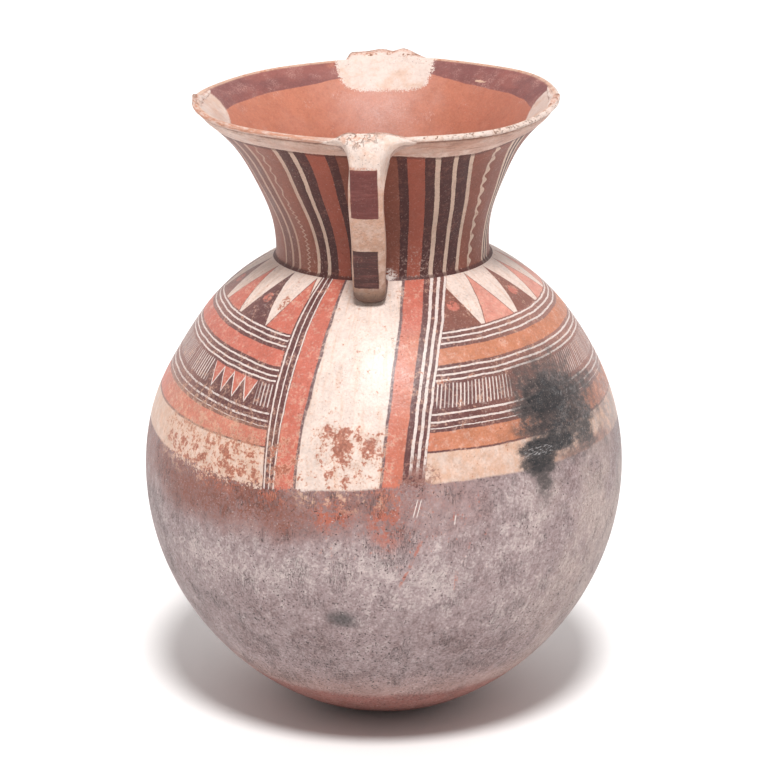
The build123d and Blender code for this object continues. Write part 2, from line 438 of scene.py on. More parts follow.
# How the potter's hands left the jar: the neck leans, the rim tilts and every wall swells a little


WALL_WAVES = ((0.35, 3, 0.7, 60), (0.25, 5, -1.1, -37))  # depth, waves a turn, start, height per radian
WAVES_FROM_AXIS = 40  # the waves die out within this radius
NECK_SWELL = 2.0
NECK_SWELL_PLACE = (335, 20)  # height of its middle, and its reach
NECK_SWELL_START = (288, 300)  # it comes in between these heights
RIGHT_SWELL = 1.1
RIGHT_SWELL_PLACE = (265, 22)
LEFT_HOLLOW = 3.2
LEFT_HOLLOW_PLACE = (231, 26)
LIP_DRAWN_IN = 0.7
LIP_DRAWN_START = (366, 378)
NECK_LEAN = -4.4  # sideways, at the lip
NECK_LEAN_POWER = 1.6  # over 1, so that most of the lean is near the lip
NECK_SPAN = (285, 98)  # height of the neck's foot, and rise from there to the lip
RIM_TILT = 0.9  # degrees, up to the right
TILT_SPAN = (230, 60)  # height where it starts, and rise to its full size
RIM_WARP = 1.7  # up at the back, at this radius
WARP_RADIUS = 110
LIP_WAVES = ((0.5, 4, 1.0), (0.35, 7, -0.6))  # height, waves a turn, start
LIP_WAVE_SPAN = (348, 35)
STRAP_SHIFT = -3.1  # sideways, at the height of the strap's foot
STRAP_LEAN = -0.008
STRAP_FOOT = 290


def share_of_span(height, start, span):
    """0 up to a start height, and 1 from a span above it."""
    return np.clip((height - start) / span, 0, 1)


def settle(points):
    """Moves ideal points, in millimetres, to where the hand-built walls really are."""
    x, y, z = points.T
    from_axis = np.hypot(x, y) + 1e-6
    around = np.arctan2(x, -y)
    wave = sum(
        depth * np.sin(count * around + start + z / climb) for depth, count, start, climb in WALL_WAVES
    )
    wave = wave * np.clip(from_axis / WAVES_FROM_AXIS, 0, 1)
    wave += NECK_SWELL * swell(z, *NECK_SWELL_PLACE) * rise(z, *NECK_SWELL_START)
    leftwards = np.clip(-x / from_axis, 0, 1) ** 2
    rightwards = np.clip(x / from_axis, 0, 1) ** 2
    wave += RIGHT_SWELL * swell(z, *RIGHT_SWELL_PLACE) * rightwards
    wave -= LEFT_HOLLOW * swell(z, *LEFT_HOLLOW_PLACE) * leftwards
    wave -= LIP_DRAWN_IN * rise(z, *LIP_DRAWN_START)
    up_the_neck = share_of_span(z, *NECK_SPAN)
    lean = NECK_LEAN * up_the_neck**NECK_LEAN_POWER
    tilt = tan(radians(RIM_TILT)) * x * share_of_span(z, *TILT_SPAN)
    warp = (RIM_WARP * y / WARP_RADIUS + RIM_WARP * x * y / WARP_RADIUS**2) * up_the_neck
    lip_wave = sum(size * np.sin(count * around + start) for size, count, start in LIP_WAVES)
    lift = tilt + warp + lip_wave * share_of_span(z, *LIP_WAVE_SPAN)
    return np.stack((x * (1 + wave / from_axis) + lean, y * (1 + wave / from_axis), z + lift), 1)


def shift_strap(points):
    """The straps stand a little left of the jar's own middle, and lean with its neck."""
    sideways = STRAP_SHIFT + STRAP_LEAN * (points[:, 2] - STRAP_FOOT)
    return points + np.stack((sideways, 0 * sideways, 0 * sideways), 1)


# Paint places: each vertex knows where the painter's hand was


def mirrored_angle(points):
    """Degrees round the jar from the nearer handle, to the right positive, the same front and back."""
    return np.degrees(np.arctan2(points[:, 0], np.abs(points[:, 1])))


def wall_length(points):
    """Millimetres along the body's outside from the crease under the neck."""
    radius = np.hypot(points[:, 0], points[:, 1])
    height = points[:, 2] - equator
    upper = shoulder_length - shoulder_radius * np.arctan2(height, radius + SHOULDER_ARC_OFFSET)
    lower = shoulder_length + lower_radius * np.arctan2(-height, radius + LOWER_ARC_OFFSET)
    return np.where(height >= 0, upper, lower)


HORIZON = 132.6  # where the grey slip starts, in millimetres down the wall
HORIZON_SAG = 7.0
SAG_MIDDLE = -30  # degrees
SAG_REACH = 52


def body_place(points):
    """Angle, millimetres down the wall, and millimetres below the edge of the grey slip."""
    angle = mirrored_angle(points)
    down = wall_length(points)
    sag = np.cos(pi / 2 * np.clip((angle - SAG_MIDDLE) / SAG_REACH, -1, 1)) ** 2
    return np.stack((angle, down, down - (HORIZON + HORIZON_SAG * sag)), 1)


PANEL_EDGES = (0.0, 14.3, 16.6, 27.5, 40.3, 150.0)  # cream, outline, red, lined dark, rings
PANEL_SPREAD = 0.09  # how much the right half widens per millimetre down
PANEL_SPREAD_START = 35
LEFT_DIP = 8.3  # how far the rings hang down next to the panel, on the left
LEFT_DIP_REACH = 50  # degrees over which they come up again
LEFT_DIP_POWER = 1.45
RIGHT_DIP = 0.064  # the same on the right, per degree
DIP_END = 80  # degrees round, where the rings are level
DIP_FADE = (100, 130)  # millimetres down, where the dip dies out
RIGHT_TOOTH = (39.3, 16.9)  # angle of a triangle's middle, and from one to the next
LEFT_TOOTH = (40.3, 16.57)


def left_panel(angle, down):
    """Distance from the panel's middle, from the angles at which its stripes run on the left."""
    cream = np.interp(down, (40, 80, 100, 120), (15.4, 15.9, 16.9, 17.5))
    outline = np.interp(down, (60, 80, 100, 120), (16.65, 17.2, 17.8, 18.1))
    red = np.interp(down, (60, 120), (23.05, 22.85))
    lined = red + 6.8 - 0.028 * down
    edges = (np.zeros_like(down), cream, outline, red, lined, np.full_like(down, 90.0))
    across = np.zeros_like(down)
    for k in range(len(PANEL_EDGES) - 1):
        share = np.clip((-angle - edges[k]) / (edges[k + 1] - edges[k]), 0, 1)
        across += share * (PANEL_EDGES[k + 1] - PANEL_EDGES[k])
    return -across


def body_lines(points):
    """Across the front panel, along the ring lines, and along the row of triangles."""
    angle = mirrored_angle(points)
    down = wall_length(points)
    radius = np.hypot(points[:, 0], points[:, 1])
    spread = PANEL_SPREAD * np.clip(down - PANEL_SPREAD_START, 0, None)
    right_panel = radius * np.sin(np.radians(angle)) + spread
    across = np.where(angle >= 0, right_panel, left_panel(angle, down))
    left_share = np.clip(DIP_END + angle, 0, LEFT_DIP_REACH) / LEFT_DIP_REACH
    left_dip = LEFT_DIP * left_share**LEFT_DIP_POWER
    right_dip = RIGHT_DIP * np.clip(DIP_END - angle, 0, DIP_END)
    dip = np.where(angle >= 0, right_dip, left_dip) * (1 - rise(down, *DIP_FADE))
    right_tooth = (angle - RIGHT_TOOTH[0]) / RIGHT_TOOTH[1]
    left_tooth = (-angle - LEFT_TOOTH[0]) / LEFT_TOOTH[1]
    tooth = np.where(angle >= 0, right_tooth, left_tooth)
    return np.stack((across, down - dip, tooth), 1)


def neck_place(points):
    """Angle, height, and the angle that the neck's leaning stripes follow."""
    angle = mirrored_angle(points)
    height = throat_height + (points[:, 2] - throat_height) * 0.9615
    right = angle - (1.6 - 0.0037 * (height - 312) ** 2) * angle / 45
    left = angle * (1 + 3 * (1 - np.cos(pi * (height - 340) / 50)) / 52)
    return np.stack((angle, points[:, 2], np.where(angle >= 0, right, left)), 1)


SIDE_PATCH = 78.0  # the cream patch beside a side crest lies towards the front, at this angle


def mouth_place(points):
    """Depth below the lip along the wall, degrees from the nearest cream patch, and height."""
    x, y, z = points.T
    around = np.abs(np.degrees(np.arctan2(x, -y)))
    from_patch = np.minimum(np.minimum(around, 180 - around), np.abs(around - SIDE_PATCH))
    flare = np.degrees(np.arctan2(z - neck_centre[1], neck_centre[0] - np.hypot(x, y)))
    depth = np.radians(LIP_FLARE_ANGLE - flare) * inner_neck_radius
    return np.stack((depth, from_patch, z), 1)


# Shader shorthand


class Field:
    """A number that varies over the surface, held by the output of a shader node."""

    def __init__(self, box, socket):
        self.box = box
        self.socket = socket

    def math(self, operation, *others):
        node = self.box.node("Math", operation=operation)
        for slot, value in zip(node.inputs, (self, *others)):
            self.box.feed(slot, value)
        return Field(self.box, node.outputs[0])

    def __add__(self, other):
        return self.math("ADD", other)

    def __sub__(self, other):
        return self.math("SUBTRACT", other)

    def __mul__(self, other):
        return self.math("MULTIPLY", other)

    def __truediv__(self, other):
        return self.math("DIVIDE", other)

    def rest(self):
        """What is left of a share of 1."""
        return (self * -1.0) + 1.0

    def size(self):
        return self.math("ABSOLUTE")

    def fraction(self):
        return self.math("FRACT")

    def about(self, reach):
        """A noise moved to vary about 0, and widened to this reach."""
        return (self - 0.5) * reach

    def veins(self, wide, thin):
        """1 on the thin lines along which a noise crosses its middle."""
        return (self - 0.5).size().smooth(wide, thin)

    def mixed(self, other, share):
        """Two fields added up, with this share of the other one."""
        return self * (1 - share) + other * share

    def below(self, edge):
        return self.math("LESS_THAN", edge)

    def above(self, edge):
        return self.math("GREATER_THAN", edge)

    def most(self, other):
        return self.math("MAXIMUM", other)

    def least(self, other):
        return self.math("MINIMUM", other)

    def smooth(self, low, high):
        """0 at low to 1 at high with soft ends; high may be the smaller one."""
        node = self.box.node("MapRange", interpolation_type="SMOOTHSTEP")
        for slot, value in zip(node.inputs, (self, low, high, 0.0, 1.0)):
            self.box.feed(slot, value)
        return Field(self.box, node.outputs[0])

    def between(self, low, high, soft=0.25):
        return self.smooth(low - soft, low + soft) * self.smooth(high + soft, high - soft)

    def past(self, edge, soft):
        """0 before an edge to 1 after it, or turned round where soft is below 0."""
        return self.smooth(edge - soft, edge + soft)

    def lines(self, places, width, low, high):
        """1 on thin painted lines at these places, from one two-tone ramp over low to high."""
        ramp = self.box.node("ValToRGB")
        ramp.color_ramp.interpolation = "CONSTANT"
        stops = ramp.color_ramp.elements
        stops[0].color = (0, 0, 0, 1)
        stops.remove(stops[1])
        for place in places:
            for edge, tone in ((place - width / 2, 1.0), (place + width / 2, 0.0)):
                stops.new((edge - low) / (high - low)).color = (tone, tone, tone, 1)
        self.box.feed(ramp.inputs[0], (self - low) / (high - low))
        return Field(self.box, ramp.outputs[0])


class PaintBox:
    """A shader tree with short names for the nodes that mix clay, slip and paint."""

    def __init__(self, tree):
        self.tree = tree
        self.where = None

    def node(self, kind, inputs=None, **settings):
        node = self.tree.nodes.new("ShaderNode" + kind)
        for name, value in settings.items():
            setattr(node, name, value)
        for key, value in (inputs or {}).items():
            self.feed(node.inputs[key], value)
        return node

    def feed(self, socket, value):
        if isinstance(value, Field):
            value = value.socket
        if isinstance(value, bpy.types.NodeSocket):
            self.tree.links.new(value, socket)
        else:
            socket.default_value = value

    def numbers(self, attribute):
        """The three numbers that a piece's vertices carry under this name."""
        return self.split(self.node("Attribute", attribute_name=attribute).outputs["Vector"])

    def split(self, vector):
        """The three numbers of a vector."""
        return [Field(self, out) for out in self.node("SeparateXYZ", {0: vector}).outputs]

    def object_place(self):
        if self.where is None:
            self.where = self.node("TexCoord").outputs["Object"]
        return self.where

    def front(self):
        """1 on the jar's front half, 0 on its back."""
        _, y, _ = self.split(self.object_place())
        return y.smooth(0.012, -0.012)

    def grain(self, size, detail=2.0, roughness=0.5, stretch=(1.0, 1.0, 1.0)):
        """Cloudy noise with grains of about this many millimetres."""
        place = self.object_place()
        if stretch != (1.0, 1.0, 1.0):
            place = self.node("Mapping", {"Vector": place, "Scale": stretch}).outputs[0]
        inputs = {"Vector": place, "Scale": 1000.0 / size, "Detail": detail, "Roughness": roughness}
        return Field(self, self.node("TexNoise", inputs).outputs[0])

    def flat_grain(self, across, along, detail=2.0, roughness=0.5):
        """The same noise over two numbers of the surface, such as angle and length."""
        place = self.node("CombineXYZ", {0: across, 1: along}).outputs[0]
        inputs = {"Vector": place, "Scale": 1.0, "Detail": detail, "Roughness": roughness}
        return Field(self, self.node("TexNoise", inputs).outputs[0])

    def lay(self, under, over, share):
        """One colour laid over another where share is 1."""
        mix = self.node("Mix", data_type="RGBA")
        self.feed(mix.inputs[0], share)
        self.feed(mix.inputs[6], under)
        self.feed(mix.inputs[7], over)
        return mix.outputs[2]

    def shade(self, colour, amount):
        """A colour made lighter or darker by an amount near 1."""
        grey = self.node("CombineColor", {0: amount, 1: amount, 2: amount}).outputs[0]
        mix = self.node("Mix", data_type="RGBA", blend_type="MULTIPLY")
        self.feed(mix.inputs[0], 1.0)
        self.feed(mix.inputs[6], colour)
        self.feed(mix.inputs[7], grey)
        return mix.outputs[2]

    def cloud(self, angle, down, centre, reach, soft, ragged):
        """A soft-edged stain about a place on the wall; ragged is a field near 0."""
        sideways = (angle - centre[0]) / reach[0]
        downwards = (down - centre[1]) / reach[1]
        from_centre = (sideways * sideways + downwards * downwards).math("SQRT") + ragged
        return from_centre.smooth(1 + soft, 1 - soft)

    def clouds(self, angle, down):
        """The same for one wall: a maker of stains from their centre, reach, softness and raggedness."""
        return lambda *stain: self.cloud(angle, down, *stain)


class Coat:
    """The colour of a wall so far, with each paint laid over a share of it in turn."""

    def __init__(self, box, colour):
        self.box = box
        self.colour = colour

    def lay(self, over, share):
        self.colour = self.box.lay(self.colour, over, share)


def fired(red, green, blue):
    """Linear colour of a clay or paint from how it reads in plain light, 0 to 255."""
    tones = [value / 255 for value in (red, green, blue)]
    linear = [t / 12.92 if t <= 0.04045 else ((t + 0.055) / 1.055) ** 2.4 for t in tones]
    return (*(TONE * value for value in linear), 1.0)


TONE = 0.74  # share of white light that a paint reading as full white sends back

CREAM = fired(252, 230, 218)
OLD_CREAM = fired(228, 198, 178)
WHITE_LINE = fired(248, 231, 223)
ROSE_RED = fired(217, 120, 100)
ORANGE_RED = fired(214, 139, 104)
UMBER = fired(110, 66, 64)
NECK_UMBER = fired(89, 54, 52)
NECK_GROUND = fired(148, 88, 72)
NECK_RED = fired(173, 95, 77)
MAROON = fired(120, 58, 53)
TERRACOTTA = fired(217, 138, 110)
INNER_MAROON = fired(141, 87, 86)
BARE_CLAY = fired(190, 104, 76)
GREY_SLIP = fired(181, 159, 159)
PALE_SLIP = fired(223, 205, 201)
DUSK_SLIP = fired(138, 112, 110)
RUSSET = fired(148, 90, 75)
BASE_CLAY = fired(156, 96, 88)
BASE_ROSE = fired(205, 158, 143)
BASE_RED = fired(158, 92, 82)
BUFF = fired(212, 188, 172)
SOOT = fired(30, 30, 34)
SMOKE = fired(122, 108, 104)
ASH = fired(70, 74, 74)
BAND_TAN = fired(228, 178, 148)
PEACH = fired(240, 198, 172)
PALE_RED = fired(241, 170, 152)
BROWN_WASH = fired(153, 103, 89)
THIN_UMBER = fired(174, 126, 115)
OUTLINE_MAUVE = fired(126, 94, 94)
DOT_ROSE = fired(214, 126, 108)
DUST = fired(238, 214, 202)
PIT_BROWN = fired(70, 48, 44)
SINGED = fired(168, 118, 106)
SINGED_ORANGE = fired(208, 134, 102)
# pale grey of ash and scuffs, also a painted grazing highlight at the right edge
PALE_ASH_AND_SHEEN = fired(190, 186, 186)
UNDER_STAIN = fired(165, 113, 103)
RUN_ORANGE = fired(200, 104, 76)
SCRATCH = fired(70, 56, 54)
CHALK = fired(232, 219, 215)
RIM_GREY = fired(206, 158, 138)
RIM_BROWN = fired(136, 92, 72)
WORN_ORANGE = fired(214, 140, 106)
NECK_RUB = fired(178, 122, 106)
NECK_SCUM = fired(206, 176, 164)
DEEP_TERRACOTTA = fired(196, 116, 94)
# pale pink of the mouth's painted highlight, also of its chalky scratches and rubbed maroon
THROAT_BROWN = fired(150, 86, 70)
SHEEN_AND_CHALK_PINK = fired(240, 190, 178)
RUBBED_MAROON = fired(172, 104, 96)
STRAP_TAN = fired(222, 166, 135)
# brown of soil and cracks on the strap, also painted shade at its lower bend
STRAP_SOIL_AND_SHADE = fired(112, 88, 72)
STRAP_BROWN = fired(82, 46, 43)
INNER_CLAY = fired(150, 92, 74)
INNER_PALE = fired(186, 120, 96)
INNER_DARK = fired(110, 74, 64)
BASE_DARK = fired(134, 84, 76)


def start_group(name, numbers, colours, out_numbers, out_colours):
    """An empty node group with named inputs and outputs, and its two end nodes."""
    tree = bpy.data.node_groups.new(name, "ShaderNodeTree")
    for names, way, kind in (
        (numbers, "INPUT", "NodeSocketFloat"),
        (colours, "INPUT", "NodeSocketColor"),
        (out_numbers, "OUTPUT", "NodeSocketFloat"),
        (out_colours, "OUTPUT", "NodeSocketColor"),
    ):
        for socket in names:
            tree.interface.new_socket(socket, in_out=way, socket_type=kind)
    ins = tree.nodes.new("NodeGroupInput")
    outs = tree.nodes.new("NodeGroupOutput")
    return PaintBox(tree), ins.outputs, outs.inputs


def make_hand_shake():
    """How far a brush edge strays, in millimetres, and how ragged and crumbly the paint is, 0 to 1."""
    box, _, outs = start_group("hand_shake", (), (), ("Broad", "Fine", "Ragged", "Crumbs"), ())
    broad = box.grain(15.0, 1.0).about(2.2)
    fine = box.grain(2.0, 3.0, 0.65).about(1.7)
    box.feed(outs["Broad"], broad)
    box.feed(outs["Fine"], fine)
    box.feed(outs["Ragged"], box.grain(5.5, 6.0, 0.68))
    box.feed(outs["Crumbs"], box.grain(1.5, 3.0, 0.65))
    return box.tree


def make_fired_skin():
    """Mottled, pitted and dusty look of old fired slip over any colour."""
    box, ins, outs = start_group(
        "fired_skin", ("Mottle", "Pits", "Dust"), ("Color",), ("Roughness", "Height"), ("Color",)
    )
    cloudy = box.grain(10.0, 5.0, 0.6)
    fine = box.grain(1.6, 3.0, 0.65)
    dots = box.grain(0.9, 2.0, 0.5)
    patchy = box.grain(21.0, 3.0).smooth(0.35, 0.65)
    pits = dots.smooth(0.62, 0.72) * patchy * Field(box, ins["Pits"])
    dust = dots.smooth(0.39, 0.29) * (patchy.rest() * 0.6 + 0.4) * Field(box, ins["Dust"])
    tone = (cloudy.about(1.1) + fine.about(1.2)) * Field(box, ins["Mottle"]) + 1.0
    mottled = box.shade(ins["Color"], tone)
    dusty = box.lay(mottled, DUST, dust)
    box.feed(outs["Color"], box.lay(dusty, PIT_BROWN, pits * 0.75))
    box.feed(outs["Roughness"], cloudy * 0.35 + 0.32 + pits * 0.2)
    box.feed(outs["Height"], cloudy.about(0.45) + fine.about(0.1) - pits * 0.22)
    return box.tree


def make_soot():
    """Smoke cloud on the right shoulder: cores, drip, scuffed spot, the singed slip beside it, and pale ash
    at the right edge that is partly a painted grazing highlight.
    """
    box, ins, outs = start_group("soot", ("Angle", "Down"), (), ("Share", "Scuff", "Singe", "AshAndSheen"), ())
    angle = Field(box, ins["Angle"])
    down = Field(box, ins["Down"])
    ragged = box.grain(12.0, 4.0, 0.58).about(2.0)
    crisp = box.grain(4.0, 4.0, 0.65).about(1.3)
    front = box.front()
    cloud = box.clouds(angle, down)
    wide = cloud((55.0, 104.0), (15.0, 26.0), 0.7, ragged) * 0.74
    core = cloud((50.0, 97.0), (10.5, 14.5), 0.7, ragged)
    lobe = cloud((47.0, 121.0), (10.0, 6.0), 0.4, ragged * 0.7 + crisp * 0.5)
    lobe = lobe.most(cloud((43.6, 128.0), (5.2, 9.5), 0.55, ragged * 0.6 + crisp * 0.5))
    smear = cloud((53.0, 110.0), (12.0, 10.0), 0.65, ragged) * 0.84
    drip = cloud((43.8, 139.0), (2.6, 13.0), 0.85, crisp) * 0.55
    haze = cloud((54.0, 82.0), (15.0, 14.0), 0.7, ragged) * 0.5
    share = (wide.most(core).most(lobe).most(smear).most(drip) * 1.15).least(1.0).most(haze)
    fibres = box.flat_grain(angle * 0.5 - down * 0.12, down * 0.3 + angle * 0.1, 6.0, 0.75)
    veil = (fibres.smooth(0.66, 0.42) * 0.5 + 0.5).most(core.most(lobe) * 0.9)
    scuffs = box.flat_grain(angle * 0.9 + down * 0.3, down * 1.1, 3.0, 0.6).smooth(0.50, 0.66)
    scuff = cloud((43.4, 123.6), (5.2, 3.2), 0.4, crisp * 0.5) * scuffs
    scraped = box.flat_grain(angle * 1.1 + down * 0.35, down * 0.22 - angle * 0.15, 5.0, 0.72)
    scuff = scuff.most(scraped.smooth(0.54, 0.70) * share * angle.smooth(46.0, 60.0) * 0.7)
    hair = box.flat_grain(angle * 0.8 + down * 0.45, down * 0.12 - angle * 0.2, 4.0, 0.62)
    cross_hair = box.flat_grain(angle * 0.8 - down * 0.4, down * 0.14 + angle * 0.2, 4.0, 0.62)
    hairs = (hair - 0.5).size().least((cross_hair - 0.5).size()).smooth(0.028, 0.006)
    tufts = box.grain(13.0, 3.0).smooth(0.48, 0.64) * (angle.smooth(46.0, 58.0) * 0.7 + 0.3)
    scuff = scuff.most(hairs * share * tufts * 0.3)
    singe = cloud((63.0, 134.0), (17.0, 8.0), 0.5, ragged)
    # pale ash at the right edge, partly a painted grazing highlight
    ash_and_sheen = cloud((85.0, 128.0), (9.0, 38.0), 0.5, ragged)
    box.feed(outs["Share"], share * veil * front)
    box.feed(outs["Scuff"], scuff * front)
    box.feed(outs["Singe"], singe * front)
    box.feed(outs["AshAndSheen"], ash_and_sheen * front)
    return box.tree


SMEARS = (
    ((-38.0, 141.0), (7.0, 6.0)),
    ((-23.6, 142.0), (4.0, 9.0)),
    ((-9.0, 151.0), (4.5, 9.0)),
    ((3.6, 151.0), (3.4, 19.0)),
)  # orange paint rubbed down over the slip: (angle, length) and reach


def make_belly_slip():
    """Grey slip of the lower body: stained under the horizon, rubbed, speckled, red near the base."""
    box, ins, outs = start_group("belly_slip", ("Angle", "Down"), (), ("Height",), ("Color",))
    angle = Field(box, ins["Angle"])
    down = Field(box, ins["Down"])
    front = box.front()
    cloud = box.clouds(angle, down)
    ragged = box.grain(6.5, 6.0, 0.68)
    crumbs = box.grain(1.7, 3.0, 0.65)
    clouds = box.grain(38.0, 4.0, 0.6)
    burnish = box.flat_grain(angle * 0.55 + down * 0.07, down * 0.09 - angle * 0.05, 5.0, 0.7)
    stray = clouds.about(1.2)
    light = ragged.about(0.8) + clouds.about(1.15) + crumbs.about(1.5) + burnish.about(0.95)
    dusted_left = cloud((-36.0, 186.0), (22.0, 17.0), 0.8, stray) * 0.13
    dusted_right = cloud((30.0, 184.0), (32.0, 28.0), 0.8, stray) * 0.17
    light = light + dusted_left + dusted_right - down.smooth(205.0, 275.0) * 0.14
    coat = Coat(box, DUSK_SLIP)
    coat.lay(GREY_SLIP, light.smooth(-0.5, 0.1))
    coat.lay(PALE_SLIP, light.smooth(0.02, 0.5) * 0.95)
    coat.lay(BUFF, angle.smooth(28.0, 64.0) * clouds.smooth(0.36, 0.60) * 0.35 * front)

    stain_edge = down + stray * 14.0 + ragged.about(26.0) + burnish.about(30.0)
    under_line = stain_edge.smooth(180.0, 140.0) * angle.smooth(36.0, 6.0)
    coat.lay(UNDER_STAIN, under_line * (crumbs.smooth(0.36, 0.60) * 0.65 + 0.22))
    left_stain = cloud((-36.0, 150.0), (25.0, 17.0), 0.6, stray)
    blotchy = burnish.smooth(0.35, 0.62) * 0.4 + crumbs.smooth(0.40, 0.60) * 0.45 + 0.32
    coat.lay(RUSSET, left_stain * front * blotchy)
    tatters = ragged.mixed(crumbs, 0.4)
    smears = reduce(Field.most, (cloud(centre, reach, 0.6, stray) for centre, reach in SMEARS))
    coat.lay(RUN_ORANGE, tatters.smooth(0.44, 0.57) * smears * front * 0.8)
    crumbled = cloud((-9.0, 142.0), (12.0, 6.0), 0.6, stray)
    crumbled = crumbled.most(cloud((-44.0, 137.0), (16.0, 8.0), 0.6, stray))
    coat.lay(PEACH, tatters.smooth(0.51, 0.58) * crumbled * front * 0.75)

    streaks = box.flat_grain(angle * 0.8, down * 0.10, 4.0, 0.65)
    streaky = cloud((6.0, 160.0), (22.0, 28.0), 0.6, stray)
    flecks = (streaks * 0.5 + crumbs * 0.5).smooth(0.575, 0.64)
    coat.lay(RUN_ORANGE, flecks * streaky * front * 0.75)
    long_run = (angle + down * 0.157 + stray - 37.8).size().smooth(0.6, 0.2) * down.between(168.0, 195.0, 3.0)
    short_run = (angle + stray - 20.4).size().smooth(0.6, 0.2) * down.between(188.0, 200.0, 2.0)
    coat.lay(RUN_ORANGE, long_run.most(short_run) * tatters.smooth(0.45, 0.53) * front * 0.7)
    spot = cloud((-6.5, 219.0), (3.2, 6.0), 0.7, ragged.about(1.6))
    coat.lay(ASH, spot * front * 0.7)
    rosy = (down + ragged.about(40.0)).smooth(262.0, 300.0)
    coat.lay(BASE_ROSE, rosy * 0.45)
    slip_edge = (down + ragged.about(16.0) + stray * 6.0).smooth(294.0, 303.0)
    coat.lay(BASE_RED, slip_edge * (crumbs.smooth(0.65, 0.4) * 0.4 + 0.5))

    upright = box.flat_grain(angle * 2.1, down * 0.10, 3.0, 0.6)
    slanted = box.flat_grain(angle * 1.4 + down * 0.5, down * 0.08 - angle * 0.1, 3.0, 0.6)
    scratches = upright.veins(0.022, 0.006) * box.grain(17.0, 3.0).smooth(0.52, 0.62)
    nicks = slanted.smooth(0.64, 0.69) * clouds.smooth(0.42, 0.58)
    coat.lay(SCRATCH, scratches.most(nicks) * 0.6)
    low_pits = down.smooth(180.0, 250.0) * 0.045
    specks = box.grain(1.25, 1.0, 0.5) + low_pits
    pits = specks.smooth(0.675, 0.73) * box.grain(24.0, 2.0).smooth(0.32, 0.5)
    coat.lay(SCRATCH, pits * 0.9)
    chalk = box.grain(1.05, 3.0, 0.6).smooth(0.62, 0.70)
    coat.lay(CHALK, chalk * ragged.smooth(0.38, 0.56) * 0.75)

    from_nick = angle + down * 0.11 - 27.1
    nick_pair = from_nick.size() - 0.42
    long_nick = nick_pair.size().smooth(0.17, 0.08) * down.between(142.0, 152.0, 1.0)
    short_nick = (angle + down * 0.06 - 29.0).size().smooth(0.2, 0.1) * down.between(152.5, 158.0, 0.8)
    coat.lay(WHITE_LINE, long_nick.most(short_nick) * front * 0.9)
    box.feed(outs["Color"], coat.colour)
    box.feed(outs["Height"], ragged.about(0.25) + crumbs.about(0.08) - pits * 0.3 - scratches * 0.15)
    return box.tree


hand_shake = make_hand_shake()
fired_skin = make_fired_skin()
soot_cloud = make_soot()
belly_slip = make_belly_slip()


def start_material(name):
    material = bpy.data.materials.new(name)
    material.use_nodes = True
    tree = material.node_tree
    tree.nodes.clear()
    return material, PaintBox(tree)


def fire(coat, mottle, pits, dust, relief=None, gloss=0.0, specular=0.4):
    """Ends a material: the skin goes over the coat and both go into the shader."""
    box = coat.box
    inputs = {"Color": coat.colour, "Mottle": mottle, "Pits": pits, "Dust": dust}
    skin = box.node("Group", inputs, node_tree=fired_skin)
    height = Field(box, skin.outputs["Height"])
    if relief is not None:
        height = height + relief
    bump = box.node("Bump", {"Height": height, "Distance": MM, "Strength": 1.0})
    clay = box.node("BsdfPrincipled")
    box.feed(clay.inputs["Base Color"], skin.outputs["Color"])
    box.feed(clay.inputs["Roughness"], Field(box, skin.outputs["Roughness"]) - gloss)
    box.feed(clay.inputs["Normal"], bump.outputs[0])
    clay.inputs["Specular IOR Level"].default_value = specular
    out = box.node("OutputMaterial")
    box.tree.links.new(clay.outputs[0], out.inputs["Surface"])


def group_fields(box, tree, angle, down):
    """Outputs of a group that is placed by angle and length, by name."""
    node = box.node("Group", {"Angle": angle, "Down": down}, node_tree=tree)
    return {out.name: Field(box, out) for out in node.outputs}


def shaken(box):
    """The hand's stray as fields: broad and fine in millimetres, ragged and crumbly from 0 to 1."""
    shake = box.node("Group", node_tree=hand_shake)
    return [Field(box, shake.outputs[name]) for name in ("Broad", "Fine", "Ragged", "Crumbs")]


# Places of the shoulder's pattern: millimetres down the wall or from the panel's middle, else degrees
RING_LINES = (39.5, 43.0, 47.0, 62.2, 65.8, 69.3, 89.0, 93.0, 96.8)
PANEL_LEFT_LINES = (-38.5, -33.5, -28.5)
PANEL_RIGHT_LINES = (31.5, 35.4, 39.2)
PANEL_CREAM = 14.55
PANEL_RED = (16.3, 27.5)
PANEL_END = 40.25
TRIANGLES_END = 38.5
RED_RINGS = ((50.0, 60.0), (99.5, 111.8))
COMBED_RING = (71.8, 85.8)
ZIGZAG_RING = (71.6, 88.0)
ZIGZAG_PART = (-52.2, -33.6)
ZIGZAG_STEP = 4.65
ZIGZAG_TOP = 72.6
ZIGZAG_HEIGHT = 13.4
CREAM_RING = 113.2
BARE_SPOTS = (
    ((-7.5, 104.0), (6.0, 4.0), 0.088),
    ((-6.5, 113.0), (2.4, 8.5), 0.088),
    ((1.0, 112.0), (3.0, 6.5), 0.07),
)  # paint flaked off the panel: (angle, length), reach and share
WORN_PARTS = (
    ((-13.0, 3.5, 3.0), (98.0, 142.0, 10.0), 0.085),
    ((-62.0, -24.0, 7.0), (110.0, 142.0, 7.0), 0.115),
    ((-24.0, -15.0, 2.0), (112.0, 140.0, 8.0), 0.08),
)  # paint worn thin: from and to an angle, from and to a length, each with its softness, and share


